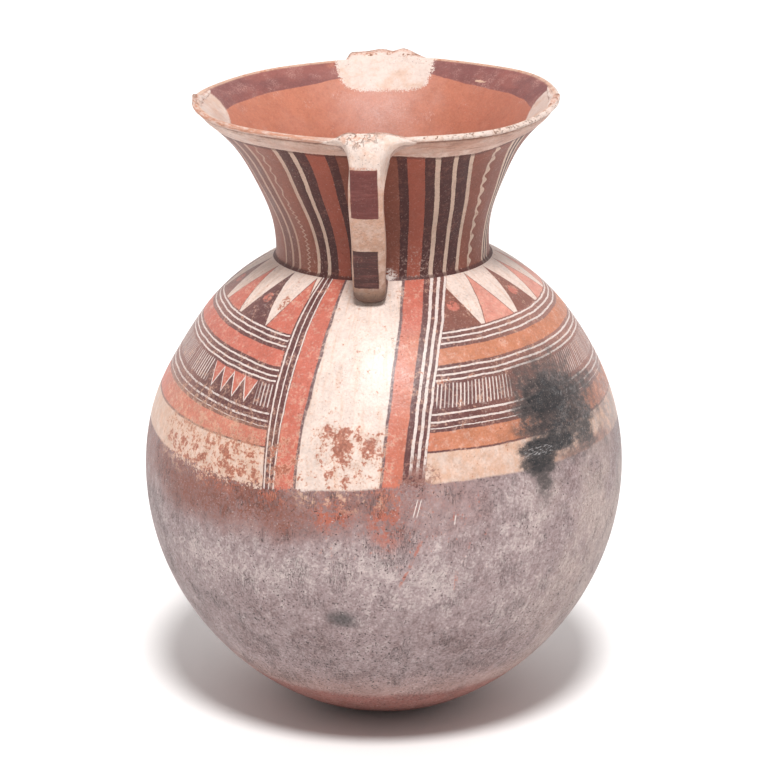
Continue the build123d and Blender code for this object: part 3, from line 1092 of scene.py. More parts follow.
def paint_triangles(box, tooth, down, right, dark, red, cream):
    """Row of hanging cream triangles with red and dark ones standing between them."""
    from_middle = ((tooth + 0.5).fraction() - 0.5).size()
    half = (down * -0.01175) + 0.53
    hanging = (from_middle - half).smooth(0.012, -0.012)
    odd = (tooth.math("FLOOR") * 0.5).fraction() * 2.0
    is_red = (odd - right.rest()).size().below(0.5)
    coat = Coat(box, box.lay(dark, red, is_red))
    sideways = (tooth.fraction() - 0.52) * 25.0
    downwards = down - 26.0
    dot = (sideways * sideways + downwards * downwards).math("SQRT").smooth(4.3, 3.1)
    dot = dot * box.grain(3.2, 3.0, 0.6).smooth(0.34, 0.50)
    coat.lay(DOT_ROSE, dot * is_red.rest() * 0.9)
    outline = (from_middle - half).size().smooth(0.028, 0.016)
    coat.lay(dark, outline)
    coat.lay(cream, hanging)
    return coat.colour


def comb_strokes(box, angle, down, fine):
    """Upright strokes right of the panel, left of the zigzag, next to the panel and far round."""
    far_part = angle.size().between(60.0, 96.0, 6.0) * (angle.above(0.0) + angle.below(-67.0)) * 0.8
    for slant, level, stray, step, width, part in (
        (0.10, 89.0, 0.12, 1.10, 0.16, angle.between(17.2, 40.2, 0.2)),
        (0.05, 89.0, 0.12, 1.28, 0.17, angle.between(-66.0, -53.0, 0.3)),
        (-0.02, 89.0, 0.12, 1.15, 0.17, angle.between(-32.8, -27.0, 0.2)),
        (0.13, 80.0, 0.10, 1.15, 0.17, far_part),
    ):
        comb = ((down - level) * slant + angle + fine * stray) / step
        number = comb.math("FLOOR")
        pressed = box.flat_grain(number * 3.7, number * 1.3, 1.0).smooth(0.30, 0.58)
        stroke = (comb.fraction() - 0.5).size().smooth(width + 0.05, width - 0.03)
        yield stroke * part * (pressed * 0.6 + 0.4)


def paint_hatching(coat, angle, down, ring, red, fine):
    """Lays the red under the zigzag, and returns where the white of strokes and zigzag goes."""
    strokes = reduce(Field.most, comb_strokes(coat.box, angle, down, fine))
    combed = (ring + fine).between(*COMBED_RING, 0.4)
    swing = ((((angle - ZIGZAG_PART[0]) / ZIGZAG_STEP).fraction() - 0.5).size() * -2.0) + 1.0
    zig_part = angle.between(*ZIGZAG_PART, 0.2) * ring.between(*ZIGZAG_RING)
    from_zig = (ring + fine * 1.2) - (swing * ZIGZAG_HEIGHT + ZIGZAG_TOP)
    zigzag = (from_zig * 0.40).size().smooth(0.55, 0.28)
    coat.lay(red, from_zig.smooth(0.5, -0.5) * zig_part * 0.9)
    return (strokes * combed).most(zigzag * zig_part)


def mix_shoulder_paint():
    material, box = start_material("shoulder_paint")
    angle, down, below = box.numbers("paint_place")
    across, ring, tooth = box.numbers("paint_lines")
    broad, fine, ragged, crumbs = shaken(box)
    front = box.front()
    cloud = box.clouds(angle, down)
    right = angle.above(0.0)
    stray = broad + fine
    ring = ring + stray * 0.6
    across = across + stray * 0.55
    thin_paint = ragged.mixed(crumbs, 0.35).smooth(0.46, 0.66)
    orange = angle.smooth(-4.0, 26.0) * down.smooth(34.0, 52.0)
    red = box.lay(ROSE_RED, ORANGE_RED, orange)
    red = box.lay(red, PALE_RED, thin_paint * 0.55)
    dark = box.lay(UMBER, BROWN_WASH, angle.smooth(15.0, 60.0))
    faded = angle.smooth(-44.0, -70.0).most(angle.smooth(26.0, 70.0)) * 0.68
    dark = box.lay(dark, THIN_UMBER, (thin_paint * 0.6).most(faded))
    brushed = box.flat_grain(angle * 0.55, down * 0.025, 4.0, 0.6)
    cream = box.lay(CREAM, PEACH, brushed.smooth(0.48, 0.70) * 0.55)
    cream = box.lay(cream, PEACH, crumbs.smooth(0.55, 0.72) * 0.4)
    cream = box.lay(cream, OLD_CREAM, angle.smooth(-46.0, -74.0) * (brushed.smooth(0.40, 0.60) * 0.5 + 0.2))

    red_rings = ring.between(*RED_RINGS[0]) + ring.between(*RED_RINGS[1])
    coat = Coat(box, dark)
    coat.lay(red, red_rings)
    band_cream = box.lay(cream, BAND_TAN, ragged.smooth(0.36, 0.62) * 0.5 + 0.3)
    coat.lay(band_cream, ring.past(CREAM_RING, 0.4))
    strokes = paint_hatching(coat, angle, down, ring, red, fine)
    worn = ragged.mixed(crumbs, 0.4).smooth(0.70, 0.58)
    left_worn = cloud((-50.0, 103.0), (25.0, 16.0), 0.6, ragged.about(1.4)) * front
    broken = ragged.mixed(crumbs, 0.6).smooth(0.60, 0.44)
    ring_lines = ring.lines(RING_LINES, 1.05, 0.0, 140.0) * (left_worn * broken.rest()).rest()
    tooth_red = box.lay(red, PALE_RED, right * (ragged.smooth(0.35, 0.62) * 0.35 + 0.6))
    tooth_dark = box.lay(dark, RUSSET, right * 0.8)
    triangles = paint_triangles(
        box, tooth + stray * 0.016, down + stray * 0.5, right, tooth_dark, tooth_red, cream
    )
    coat.lay(triangles, ring.past(TRIANGLES_END, -0.3))
    coat.lay(WHITE_LINE, (ring_lines.most(strokes)) * (worn * 0.75 + 0.2))

    from_panel = across.size()
    outline = box.lay(OUTLINE_MAUVE, cream, thin_paint * 0.5)
    panel = Coat(box, cream)
    panel.lay(outline, from_panel.past(PANEL_CREAM, 0.35))
    panel.lay(dark, from_panel.past(PANEL_RED[1], 0.3))
    panel.lay(red, from_panel.between(*PANEL_RED, 0.35))
    right_lines = across.lines(PANEL_RIGHT_LINES, 1.75, -45.0, 45.0)
    panel_lines = across.lines(PANEL_LEFT_LINES, 1.2, -45.0, 45.0).most(right_lines)
    lines_end = (down + broad * 4.0).smooth(131.0, 122.0).most(right.rest())
    panel.lay(WHITE_LINE, panel_lines * (worn * 0.65 + 0.3) * lines_end)
    coat.lay(panel.colour, from_panel.past(PANEL_END, -0.25))

    crease_line = (down + stray * 0.8).smooth(1.5, 0.3)
    coat.lay(UMBER, crease_line * 0.8)

    rag = ragged.mixed(crumbs, 0.38)
    torn = ragged - 0.5
    bare = (cloud(spot, reach, 0.5, torn * 1.2) * share for spot, reach, share in BARE_SPOTS)
    wear = reduce(Field.most, bare)
    for round_the_wall, down_the_wall, share in WORN_PARTS:
        wear = wear + angle.between(*round_the_wall) * down.between(*down_the_wall) * share
    wear = wear + cloud((-39.0, 27.0), (2.2, 7.0), 0.4, torn) * 0.12
    chips = rag + wear * front - 0.028
    coat.lay(PEACH, chips.smooth(0.51, 0.60) * 0.55)
    coat.lay(BARE_CLAY, chips.smooth(0.58, 0.62) * 0.82)
    coat.lay(RUSSET, chips.smooth(0.62, 0.69) * crumbs.smooth(0.42, 0.58) * 0.6)
    end_wear = cloud((11.0, 130.0), (4.5, 12.0), 0.6, torn) * front * 0.13
    coat.lay(SINGED, (rag + end_wear).smooth(0.56, 0.63) * end_wear.above(0.004) * 0.7)
    scum = left_worn * ragged.mixed(crumbs, 0.5).smooth(0.46, 0.62)
    coat.lay(BAND_TAN, scum * 0.5 + left_worn * ring.smooth(94.0, 99.0) * 0.24)
    rubbed = box.grain(2.6, 4.0, 0.6).smooth(0.58, 0.72) * 0.34
    coat.lay(DUST, rubbed)

    belly = group_fields(box, belly_slip, angle, down)
    soot = group_fields(box, soot_cloud, angle, down)
    coat.lay(SINGED, soot["Singe"] * 0.75)
    left_rag = angle.between(-56.0, -17.0, 6.0) * 16.0
    right_rag = angle.between(6.0, 14.0, 2.0) * 26.0
    left_crumbs = (crumbs - 0.5) * angle.between(-58.0, -16.0, 4.0) * 12.0
    horizon = below + stray * 0.8 + ((rag - 0.5) * (left_rag + right_rag) + left_crumbs) * front
    belly_share = horizon.smooth(-0.8, 0.8)
    coat.lay(belly["Color"], belly_share)

    scorched = cloud((71.0, 108.0), (3.8, 4.5), 0.4, torn) * front
    coat.lay(SINGED_ORANGE, scorched * 0.8)
    singed_side = angle.smooth(63.0, 76.0) * down.between(92.0, 150.0, 8.0) * front
    coat.lay(DUSK_SLIP, singed_side * (ragged.smooth(0.62, 0.42) * 0.5 + 0.15))
    # pale ash specks at the right edge, partly a painted grazing highlight
    coat.lay(PALE_ASH_AND_SHEEN, soot["AshAndSheen"] * crumbs.smooth(0.45, 0.66) * 0.7)
    coat.lay(SMOKE, soot["Share"].smooth(0.1, 0.6) * 0.88)
    coat.lay(SOOT, soot["Share"])
    coat.lay(PALE_ASH_AND_SHEEN, soot["Scuff"] * 0.9)
    relief = belly["Height"] * belly_share
    painted = belly_share.rest()
    fire(coat, mottle=0.45, pits=0.55, dust=painted * 0.35, relief=relief, gloss=painted * 0.08, specular=0.5)
    return material


def mix_belly_slip():
    material, box = start_material("belly_grey_slip")
    angle, down, _ = box.numbers("paint_place")
    belly = group_fields(box, belly_slip, angle, down)
    soot = group_fields(box, soot_cloud, angle, down)
    coat = Coat(box, belly["Color"])
    # pale ash at the right edge, partly a painted grazing highlight
    coat.lay(PALE_ASH_AND_SHEEN, soot["AshAndSheen"] * 0.45)
    coat.lay(SOOT, soot["Share"])
    fire(coat, mottle=0.45, pits=0.55, dust=0.15, relief=belly["Height"])
    return material


RIM_SLIP = 369.9  # height where the rim's cream slip starts on the neck
NECK_RIGHT = (
    (11.5, NECK_UMBER),
    (15.6, NECK_RED),
    (23.2, NECK_UMBER),
    (27.7, OLD_CREAM),
    (30.0, NECK_UMBER),
    (36.1, OLD_CREAM),
    (38.0, NECK_UMBER),
    (44.0, OLD_CREAM),
    (46.2, NECK_GROUND),
    (68.0, OLD_CREAM),
    (70.0, NECK_UMBER),
    (72.0, OLD_CREAM),
    (73.6, NECK_UMBER),
    (76.0, OLD_CREAM),
    (78.0, NECK_GROUND),
)
NECK_LEFT = (
    (11.5, NECK_UMBER),
    (15.3, NECK_RED),
    (23.0, NECK_UMBER),
    (27.8, OLD_CREAM),
    (30.0, NECK_UMBER),
    (35.5, OLD_CREAM),
    (37.5, NECK_GROUND),
    (51.0, OLD_CREAM),
    (53.0, NECK_UMBER),
    (58.0, OLD_CREAM),
    (60.0, NECK_UMBER),
    (66.5, OLD_CREAM),
    (68.5, NECK_GROUND),
)


def stripes(box, angle, stops):
    """Painted stripes round the neck, each from its own angle on."""
    ramp = box.node("ValToRGB")
    ramp.color_ramp.interpolation = "CONSTANT"
    marks = ramp.color_ramp.elements
    marks[0].color = NECK_GROUND
    marks.remove(marks[1])
    for place, colour in stops:
        marks.new(place / 90.0).color = colour
    box.feed(ramp.inputs[0], angle / 90.0)
    return ramp.outputs[0]


def mix_neck_paint():
    material, box = start_material("neck_paint")
    angle, height, stripe = box.numbers("paint_place")
    broad, fine, ragged, crumbs = shaken(box)
    front = box.front()
    stripe = stripe.size() + (broad * 0.35 + fine * 0.4)
    right = angle.above(0.0)
    coat = Coat(box, stripes(box, stripe, NECK_LEFT))
    coat.lay(stripes(box, stripe, NECK_RIGHT), right)
    right_middle = height.smooth(336.0, 370.0) * 5.0 + 54.4
    left_middle = height.smooth(328.0, 310.0) * -2.7 + 46.9
    middle = right * right_middle + right.rest() * left_middle
    tight = ((height * 0.36 + broad * 0.25).fraction() - 0.5).size() * 4.0 - 1.0
    loose = (height * 0.85 + broad * 2.0).math("SINE")
    low = height.smooth(332.0, 322.0) * right.rest()
    swing = tight * low * 1.15 + loose * low.rest() * 0.75
    beads = right * (loose * 0.45 + 0.55)
    waver = ((stripe - (swing + middle)).size() - beads).smooth(0.75, 0.4)
    coat.lay(OLD_CREAM, waver * (ragged.smooth(0.66, 0.54) * 0.5 + 0.45))
    thin_paint = ragged.mixed(crumbs, 0.4).smooth(0.48, 0.70)
    coat.lay(NECK_RUB, (thin_paint * 0.4).most(angle.smooth(-28.0, -46.0) * 0.5))
    foot = height + fine
    coat.lay(NECK_UMBER, foot.smooth(288.0, 286.6) * 0.8)
    crumbly = ragged.about(1.6) + crumbs.about(1.2)
    splash = box.cloud(angle, height, (6.8, 289.0), (3.6, 3.4), 0.3, crumbly * 1.4) * front
    splash = splash * crumbs.smooth(0.42, 0.52)
    scum = crumbs.smooth(0.54, 0.66) * box.cloud(angle, height, (20.0, 294.0), (11.0, 12.0), 0.7, crumbly)
    drops = box.grain(1.6, 3.0, 0.6).smooth(0.62, 0.72) * height.smooth(330.0, 289.0)
    coat.lay(NECK_SCUM, (scum * front * 0.75).most(drops * 0.5))
    coat.lay(WHITE_LINE, splash)
    slip_edge = (height + fine * 0.8 + broad * 0.4) + angle.smooth(4.0, 28.0) * angle.smooth(62.0, 38.0) * 4.0
    coat.lay(NECK_UMBER, slip_edge.between(RIM_SLIP - 1.7, RIM_SLIP + 0.3, 0.5) * 0.55)
    # the rim's cream slip on the neck, greyed by wipe marks and painted shade where the flare faces down
    rim_slip = box.lay(CREAM, RIM_GREY, ragged.smooth(0.35, 0.65) * 0.5 + 0.3)
    coat.lay(rim_slip, slip_edge.past(RIM_SLIP, 0.3))
    fire(coat, mottle=0.4, pits=0.45, dust=0.3, specular=0.25)
    return material


def mix_rim_cream():
    """Cream slip of the rim: bright on the lip, greyed under its bead by wipe marks and painted shade, a
    painted shadow line in the groove, orange where worn.
    """
    material, box = start_material("rim_cream_slip")
    depth, _, _ = box.numbers("mouth_place")
    broad, fine, ragged, crumbs = shaken(box)
    sideways, _, _ = box.split(box.object_place())
    coat = Coat(box, CREAM)
    coat.lay(PEACH, ragged.smooth(0.42, 0.70) * 0.6)
    wiped = box.grain(26.0, 5.0, 0.65, (1.0, 1.0, 6.0))
    bristles = box.grain(11.0, 4.0, 0.68, (1.0, 1.0, 9.0))
    under = depth.smooth(2.6, 4.6)
    # painted shade: the band under the bead faces down, so it is greyed, more on the right, with wipe marks
    # over it
    shade_under_bead = sideways.smooth(-0.06, 0.04) * 0.3 + 0.28
    coat.lay(RIM_GREY, under * (wiped.smooth(0.35, 0.62) * 0.4 + shade_under_bead))
    coat.lay(RIM_BROWN, under * bristles.smooth(0.54, 0.68) * 0.5)
    # painted shadow: a brown line along the groove under the bead
    groove = (depth + fine * 0.5).between(2.7, 4.5, 0.5) * (wiped.smooth(0.36, 0.56) * 0.6 + 0.4)
    coat.lay(RIM_BROWN, groove * 0.9)
    lip = depth.smooth(2.9, 2.3)
    worn = ragged.mixed(crumbs, 0.5).smooth(0.56, 0.64) * lip
    coat.lay(WORN_ORANGE, worn * 0.55)
    left_worn = sideways.smooth(0.0, -0.05) * (bristles.smooth(0.38, 0.56) * 0.6 + 0.25)
    edge = (depth + broad * 0.3 + fine * 0.4).between(1.2, 2.7, 0.4) * ragged.smooth(0.46, 0.60)
    coat.lay(WORN_ORANGE, (edge * 0.6).most(depth.smooth(3.2, 2.6) * left_worn))
    right_specks = sideways.smooth(0.01, 0.06) * 0.085
    deep = (ragged.mixed(crumbs, 0.6) + right_specks).smooth(0.62, 0.69) * lip
    coat.lay(RIM_BROWN, deep * 0.6)
    fire(coat, mottle=0.4, pits=0.5, dust=0.2, relief=deep * -0.5 + ragged * 0.3)
    return material


def mix_crest_cream():
    """Pinched crests: thick cream with a brown worn ridge, pits and orange breaks."""
    material, box = start_material("crest_cream_slip")
    along, lift, _ = box.numbers("pinch_place")
    _, _, ragged, crumbs = shaken(box)
    coat = Coat(box, CREAM)
    coat.lay(PEACH, ragged.smooth(0.50, 0.72) * 0.6)
    ridge = (lift + ragged.about(0.5)).smooth(0.62, 0.90)
    coat.lay(WORN_ORANGE, ridge * (crumbs.smooth(0.42, 0.60) * 0.5 + 0.25))
    broken = (ragged.mixed(crumbs, 0.4) + along.smooth(6.0, -14.0) * 0.03) * lift.smooth(-0.2, 0.3)
    coat.lay(WORN_ORANGE, broken.smooth(0.55, 0.62) * 0.75)
    coat.lay(RIM_BROWN, lift.smooth(0.90, 0.99) * ragged.smooth(0.38, 0.54) * 0.55)
    pits = broken.smooth(0.60, 0.66)
    coat.lay(RIM_BROWN, pits * 0.8)
    fire(coat, mottle=0.35, pits=0.7, dust=0.2, relief=pits * -0.7 + ragged * 0.5)
    return material


def mix_mouth_paint():
    """Inside of the neck: maroon band under the lip, terracotta below, cream patch at each crest, a painted
    highlight on the rear wall.
    """
    material, box = start_material("mouth_paint")
    depth, from_crest, height = box.numbers("mouth_place")
    broad, fine, ragged, crumbs = shaken(box)
    x, y, _ = box.split(box.object_place())
    sideways_mm = x / MM
    rear = y.smooth(0.045, 0.08)
    handle_side = y.size().smooth(0.066, 0.078)
    coat = Coat(box, TERRACOTTA)
    coat.lay(DEEP_TERRACOTTA, ragged.smooth(0.40, 0.72) * 0.5)
    coat.lay(DEEP_TERRACOTTA, sideways_mm.smooth(10.0, 70.0) * 0.45)
    coat.lay(THROAT_BROWN, height.smooth(330.0, 285.0) * 0.6)
    patches = box.grain(26.0, 3.0).smooth(0.45, 0.66)
    hazy = box.grain(14.0, 5.0, 0.65)
    # painted highlight: a pale pink sheen on the rear inner wall under the rear patch, mixed with a few pale
    # patches
    painted_sheen = box.cloud(sideways_mm, height, (-4.0, 350.0), (25.0, 30.0), 0.95, hazy.about(2.2)) * rear
    speckle = box.grain(0.9, 2.0, 0.6).smooth(0.40, 0.68)
    pale = (speckle * 0.5 + 0.5) * (painted_sheen * 0.62).most(patches * 0.12)
    coat.lay(SHEEN_AND_CHALK_PINK, pale)
    long_grain = box.grain(2.6, 3.0, 0.6, (1.0, 1.0, 0.16))
    scratches = long_grain.veins(0.012, 0.004) * box.grain(15.0, 2.0).smooth(0.58, 0.66)
    coat.lay(SHEEN_AND_CHALK_PINK, scratches * 0.8)

    deeper = sideways_mm.size().smooth(15.0, 60.0) * 5.5
    band = (depth + broad * 0.9 + fine * 0.5 - deeper).smooth(14.4, 13.6)
    wiped = box.grain(40.0, 5.0, 0.62, (1.0, 1.0, 3.0))
    maroon = box.lay(INNER_MAROON, RUBBED_MAROON, wiped.smooth(0.42, 0.62) * 0.7)
    worn_place = (sideways_mm + 30.0).size().smooth(16.0, 6.0) * rear
    worn_band = hazy.smooth(0.40, 0.54) * depth.smooth(9.0, 5.0) * worn_place
    maroon = box.lay(maroon, DEEP_TERRACOTTA, worn_band * 0.8)
    chalky = speckle * hazy.smooth(0.46, 0.64)
    maroon = box.lay(maroon, SHEEN_AND_CHALK_PINK, chalky * 0.5)
    coat.lay(maroon, band * 0.94)

    corners = handle_side * 2.0 + 3.0
    sideways = (from_crest / (handle_side * -6.2 + 23.5)).math("POWER", corners)
    downwards = (depth.most(0.0) / (rear * -2.0 + 29.0)).math("POWER", corners)
    wobble = (ragged.about(0.2) + box.grain(0.9, 2.0).about(0.3)) * (rear * 0.75 + 0.25) + broad * 0.02
    from_patch = (sideways + downwards - 1.0) / corners + wobble
    patch = from_patch.smooth(0.03, -0.03)
    cream = box.lay(CREAM, PEACH, hazy.smooth(0.46, 0.66) * 0.7)
    cream = box.lay(cream, WORN_ORANGE, crumbs.smooth(0.62, 0.72) * 0.4)
    cream = box.lay(cream, RIM_GREY, rear.rest() * wiped.smooth(0.40, 0.62) * 0.3)
    coat.lay(cream, patch)
    chip = box.cloud(sideways_mm, depth, (56.0, 15.2), (3.0, 0.9), 0.3, crumbs.about(1.4)) * rear
    coat.lay(PEACH, chip)
    lip = (depth + fine * 0.5).smooth(3.6, 2.2) * (rear * patch).rest()
    lip_slip = box.lay(PEACH, WORN_ORANGE, ragged.smooth(0.50, 0.64) * 0.7)
    coat.lay(lip_slip, lip * (ragged.smooth(0.34, 0.52) * 0.5 + 0.4))
    fire(coat, mottle=0.3, pits=0.3, dust=0.2, specular=0.35)
    return material


def mix_inner_clay():
    """Bare clay inside the body, wiped by hand in long strokes."""
    material, box = start_material("inner_bare_clay")
    _, _, ragged, _ = shaken(box)
    wiped = box.grain(30.0, 4.0, 0.6, (1.0, 1.0, 5.0))
    coat = Coat(box, INNER_CLAY)
    coat.lay(INNER_PALE, wiped.smooth(0.35, 0.65))
    coat.lay(INNER_DARK, ragged.smooth(0.56, 0.72) * 0.5)
    fire(coat, mottle=0.3, pits=0.5, dust=0.1, relief=wiped * 0.6)
    return material


STRAP_BLOCKS = ((336.4, 365.3), (289.6, 314.3))  # heights of the maroon blocks


def mix_strap_paint():
    """Cream strap with two maroon blocks brushed on its outer face, soiled and painted with shade at its
    lower bend.
    """
    material, box = start_material("strap_paint")
    across, height, face = box.numbers("paint_place")
    broad, fine, ragged, crumbs = shaken(box)
    stray = broad * 0.45 + fine * 0.5
    coat = Coat(box, CREAM)
    coat.lay(PEACH, ragged.smooth(0.42, 0.70) * 0.6)
    handled = height.smooth(368.0, 348.0)
    coat.lay(STRAP_TAN, handled * (ragged.smooth(0.30, 0.62) * 0.35 + 0.45))
    cracks = box.grain(9.0, 4.0, 0.6, (1.0, 1.0, 6.0))
    crack_line = cracks.veins(0.012, 0.003) * height.between(312.0, 337.0, 4.0)
    coat.lay(STRAP_SOIL_AND_SHADE, crack_line * 0.5)
    # soil and painted shade: darker towards the strap's bottom, where it bends under
    grime_and_shade = height.smooth(330.0, 290.0) * (ragged.smooth(0.35, 0.6) * 0.3 + 0.2)
    coat.lay(STRAP_SOIL_AND_SHADE, grime_and_shade)
    soil_and_shade = (height + ragged.about(7.0)).smooth(290.5, 285.5)
    coat.lay(STRAP_SOIL_AND_SHADE, soil_and_shade * 0.75)
    # soil and painted shade: dark brown on the underside of the bend
    coat.lay(STRAP_BROWN, (height + ragged.about(5.0)).smooth(287.5, 284.5) * 0.65)
    pinched = box.cloud(across, height, (-6.0, 380.0), (14.0, 5.0), 0.6, ragged.about(1.6))
    splits = box.grain(6.0, 4.0, 0.6).veins(0.022, 0.006) * pinched
    coat.lay(WORN_ORANGE, pinched * ragged.mixed(crumbs, 0.5).smooth(0.50, 0.58) * 0.6)
    coat.lay(RIM_BROWN, splits * 0.5)
    inner = face.smooth(0.2, -0.4)
    coat.lay(NECK_GROUND, inner * 0.5)
    brushed = box.grain(16.0, 5.0, 0.68, (1.0, 1.0, 9.0))
    maroon = box.lay(MAROON, STRAP_BROWN, height.smooth(330.0, 318.0))
    maroon = box.lay(maroon, RUBBED_MAROON, brushed.smooth(0.44, 0.72) * 0.4)
    tall = height + stray
    blocks = tall.between(*STRAP_BLOCKS[0]) + tall.between(*STRAP_BLOCKS[1])
    right_edge = height.smooth(336.0, 316.0) * -1.2 + 7.0
    width = (across + stray * 0.6).smooth(-9.1, -8.6) * (across + stray * 0.6 - right_edge).smooth(0.3, -0.3)
    coat.lay(maroon, blocks * width * face.smooth(0.1, 0.4))
    brush_end = tall.between(STRAP_BLOCKS[0][1], 366.5, 0.4) * width * ragged.smooth(0.42, 0.56)
    coat.lay(WORN_ORANGE, brush_end * 0.7)
    rubbed = ragged.mixed(crumbs, 0.4).smooth(0.60, 0.68)
    coat.lay(WORN_ORANGE, rubbed * 0.35)
    fire(coat, mottle=0.38, pits=0.7, dust=0.2, relief=ragged * 0.35 - splits * 0.6)
    return material


def mix_base_clay():
    material, box = start_material("base_red_clay")
    _, _, ragged, _ = shaken(box)
    coat = Coat(box, BASE_CLAY)
    coat.lay(BASE_DARK, ragged.smooth(0.38, 0.70))
    scuffed = box.grain(3.0, 4.0, 0.65).smooth(0.56, 0.72)
    coat.lay(BASE_ROSE, scuffed * 0.6)
    fire(coat, mottle=0.4, pits=0.9, dust=0.2, relief=ragged * 0.4)
    return material


shoulder_paint = mix_shoulder_paint()
belly_grey_slip = mix_belly_slip()
neck_paint = mix_neck_paint()
rim_cream = mix_rim_cream()
crest_cream = mix_crest_cream()
mouth_paint = mix_mouth_paint()
inner_clay = mix_inner_clay()
strap_paint = mix_strap_paint()
base_clay = mix_base_clay()


# From clay to finished pieces


def finish_piece(clay, name, node, slot, materials, places, move, inside=None):
    """Paint places are read off the ideal shape, then the clay is moved to where it really is."""
    mesh = bpy.data.meshes.new(name)
    clay.to_mesh(mesh)
    clay.free()
    count = len(mesh.vertices)
    points = np.empty(count * 3)
    mesh.vertices.foreach_get("co", points)
    points = points.reshape(-1, 3)
    for attribute, values in places(points).items():
        layer = mesh.attributes.new(attribute, "FLOAT_VECTOR", "POINT")
        layer.data.foreach_set("vector", np.asarray(values, dtype=np.float32).ravel())
    for material in materials:
        mesh.materials.append(material)
    if inside is not None:
        faces = len(mesh.polygons)
        normals = np.empty(faces * 3)
        centres = np.empty(faces * 3)
        mesh.polygons.foreach_get("normal", normals)
        mesh.polygons.foreach_get("center", centres)
        within = inside(centres.reshape(-1, 3), normals.reshape(-1, 3))
        mesh.polygons.foreach_set("material_index", within.astype(np.int32))
    mesh.vertices.foreach_set("co", (move(points) * MM).ravel())
    mesh.update()
    mesh.polygons.foreach_set("use_smooth", np.ones(len(mesh.polygons), dtype=bool))
    mesh.set_sharp_from_angle(angle=radians(50))
    piece = bpy.data.objects.new(name, mesh)
    bpy.context.scene.collection.objects.link(piece)
    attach(piece, "root")
    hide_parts(node)
    return piece


def facing_axis(centres, normals):
    """True for faces that look towards the jar's axis."""
    return (centres[:, :2] * normals[:, :2]).sum(1) < 0


def facing_up(centres, normals):
    return normals[:, 2] > 0.1


def body_places(points):
    return {"paint_place": body_place(points), "paint_lines": body_lines(points)}


def bowl_places(points):
    return {"paint_place": body_place(points)}


def neck_places(points):
    return {"paint_place": neck_place(points), "mouth_place": mouth_place(points)}


def no_places(points):
    return {}


def turn_clay(clay, quarters):
    turn = Matrix.Rotation(quarters * pi / 2, 3, "Z")
    bmesh.ops.rotate(clay, cent=(0.0, 0.0, 0.0), matrix=turn, verts=clay.verts[:])


def build_walls():
    for throw, node, form, slot, materials, places, inside in (
        (throw_shoulder, "shoulder", "wall", "painted_shoulder",
         (shoulder_paint, inner_clay), body_places, facing_axis),
        (throw_lower_bowl, "lower_bowl", "wall", "grey_slip",
         (belly_grey_slip, inner_clay), bowl_places, facing_axis),
        (throw_base_disc, "base_disc", "pat", "base_clay",
         (base_clay, inner_clay), no_places, facing_up),
        (throw_neck, "neck", "collar", "painted_neck",
         (neck_paint, mouth_paint), neck_places, facing_axis),
        (throw_rim_band, "rim_band", "lip", "cream_slip",
         (rim_cream, mouth_paint), neck_places, facing_axis),
    ):
        finish_piece(throw(), node + "_" + form, node, slot, materials, places, settle, inside)


def build_strap(side, quarters):
    clay, place = bend_strap()
    turn_clay(clay, quarters)
    finish_piece(
        clay, side + "_strap", side + "_handle", "painted_handle",
        (strap_paint,), lambda points: {"paint_place": place}, shift_strap,
    )


def build_crest(side, quarters, heights, **sizes):
    clay, place = pinch_crest(heights, **sizes)
    turn_clay(clay, quarters)
    finish_piece(
        clay, side + "_pinch", side + "_crest", "cream_slip",
        (crest_cream,), lambda points: {"pinch_place": place}, settle,
    )


build_walls()
build_strap("front", 0)
build_strap("rear", 2)
build_crest("front", 0, front_heights, length=62.0, stands_out=-1.2, half_thick=3.5, lean=0.0)
build_crest("right", 1, right_heights, length=56.0, stands_out=-0.8, half_thick=2.8, lean=0.6)
build_crest("rear", 2, rear_heights, length=78.0, stands_out=2.4, half_thick=3.6, lean=1.5)
build_crest("left", 3, side_heights, length=56.0, stands_out=-0.8, half_thick=2.8, lean=0.6)


# Table, light and camera


FLOOR_REACH = 6.0  # metres each way
PAPER = (1.0, 0.985, 0.975, 1.0)


def lay_floor():
    clay = bmesh.new()
    bmesh.ops.create_grid(clay, x_segments=1, y_segments=1, size=FLOOR_REACH)
    mesh = bpy.data.meshes.new("pale_floor")
    clay.to_mesh(mesh)
    clay.free()
    material, box = start_material("floor_paper")
    paper = box.node("BsdfPrincipled")
    tone = box.grain(4.0, 3.0) * 0.01 + 0.9
    box.feed(paper.inputs["Base Color"], box.shade(PAPER, tone))
    paper.inputs["Roughness"].default_value = 0.9
    paper.inputs["Specular IOR Level"].default_value = 0.1
    out = box.node("OutputMaterial")
    box.tree.links.new(paper.outputs[0], out.inputs["Surface"])
    mesh.materials.append(material)
    floor = bpy.data.objects.new("pale_floor", mesh)
    bpy.context.scene.collection.objects.link(floor)


ROOM_WHITE = (1.0, 0.962, 0.955, 1.0)
ROOM_STRENGTH = 0.8
DIM_FRONT = 0.56  # how much of that is missing behind the camera
LAMP_STRENGTH = 3.1
LAMP_WIDTH = 12  # degrees
LAMP_WAY = (-0.06, 0.58, -1.0)
LAMP_PLACE = (0.1, -1.2, 2.2)


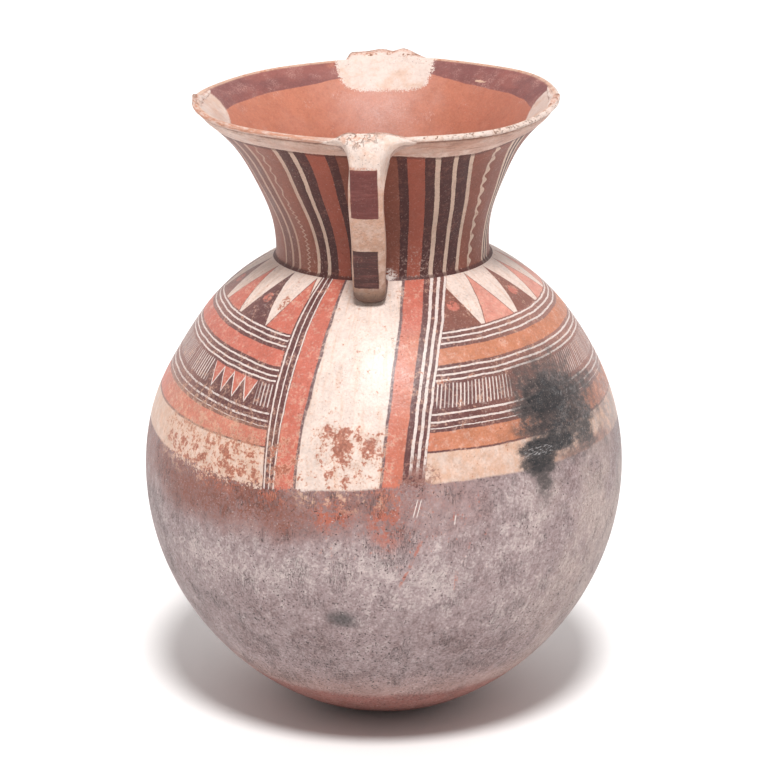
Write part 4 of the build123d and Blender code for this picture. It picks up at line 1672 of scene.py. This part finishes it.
def hang_lights():
    """A white room that is dim behind the camera, and one lamp above the jar and in front of it."""
    world = bpy.data.worlds.new("white_room")
    world.use_nodes = True
    box = PaintBox(world.node_tree)
    sky = world.node_tree.nodes["Background"]
    sky.inputs["Color"].default_value = ROOM_WHITE
    _, y, _ = box.split(box.node("TexCoord").outputs["Generated"])
    towards_front = y.smooth(0.1, -0.7)
    box.feed(sky.inputs["Strength"], towards_front * -DIM_FRONT + ROOM_STRENGTH)
    bpy.context.scene.world = world
    lamp = bpy.data.lights.new("studio_lamp", "SUN")
    lamp.energy = LAMP_STRENGTH
    lamp.angle = radians(LAMP_WIDTH)
    stand = bpy.data.objects.new("studio_lamp", lamp)
    stand.rotation_mode = "QUATERNION"
    stand.rotation_quaternion = Vector(LAMP_WAY).to_track_quat("-Z", "Y")
    stand.location = LAMP_PLACE
    bpy.context.scene.collection.objects.link(stand)


CAMERA_TURN = 3.2  # degrees to the right of the front handle
CAMERA_RISE = 17.12  # degrees above level
CAMERA_REACH = 2.0
AIM_HEIGHT = 0.2
FOCAL_PIXELS = 3250.0
IMAGE_PIXELS = 768.0
SHIFT_PIXELS = (0.8, 3.1)
SENSOR = 36.0


def place_camera():
    lens = bpy.data.cameras.new("photo_camera")
    lens.sensor_width = SENSOR
    lens.lens = FOCAL_PIXELS / IMAGE_PIXELS * SENSOR
    lens.shift_x = SHIFT_PIXELS[0] / IMAGE_PIXELS
    lens.shift_y = SHIFT_PIXELS[1] / IMAGE_PIXELS
    camera = bpy.data.objects.new("photo_camera", lens)
    turn = radians(CAMERA_TURN)
    up = radians(CAMERA_RISE)
    back = Vector((sin(turn) * cos(up), -cos(turn) * cos(up), sin(up)))
    camera.location = Vector((0.0, 0.0, AIM_HEIGHT)) + CAMERA_REACH * back
    camera.rotation_mode = "QUATERNION"
    camera.rotation_quaternion = (-back).to_track_quat("-Z", "Y")
    bpy.context.scene.collection.objects.link(camera)
    bpy.context.scene.camera = camera


lay_floor()
hang_lights()
place_camera()
bpy.context.scene.view_settings.view_transform = "Standard"
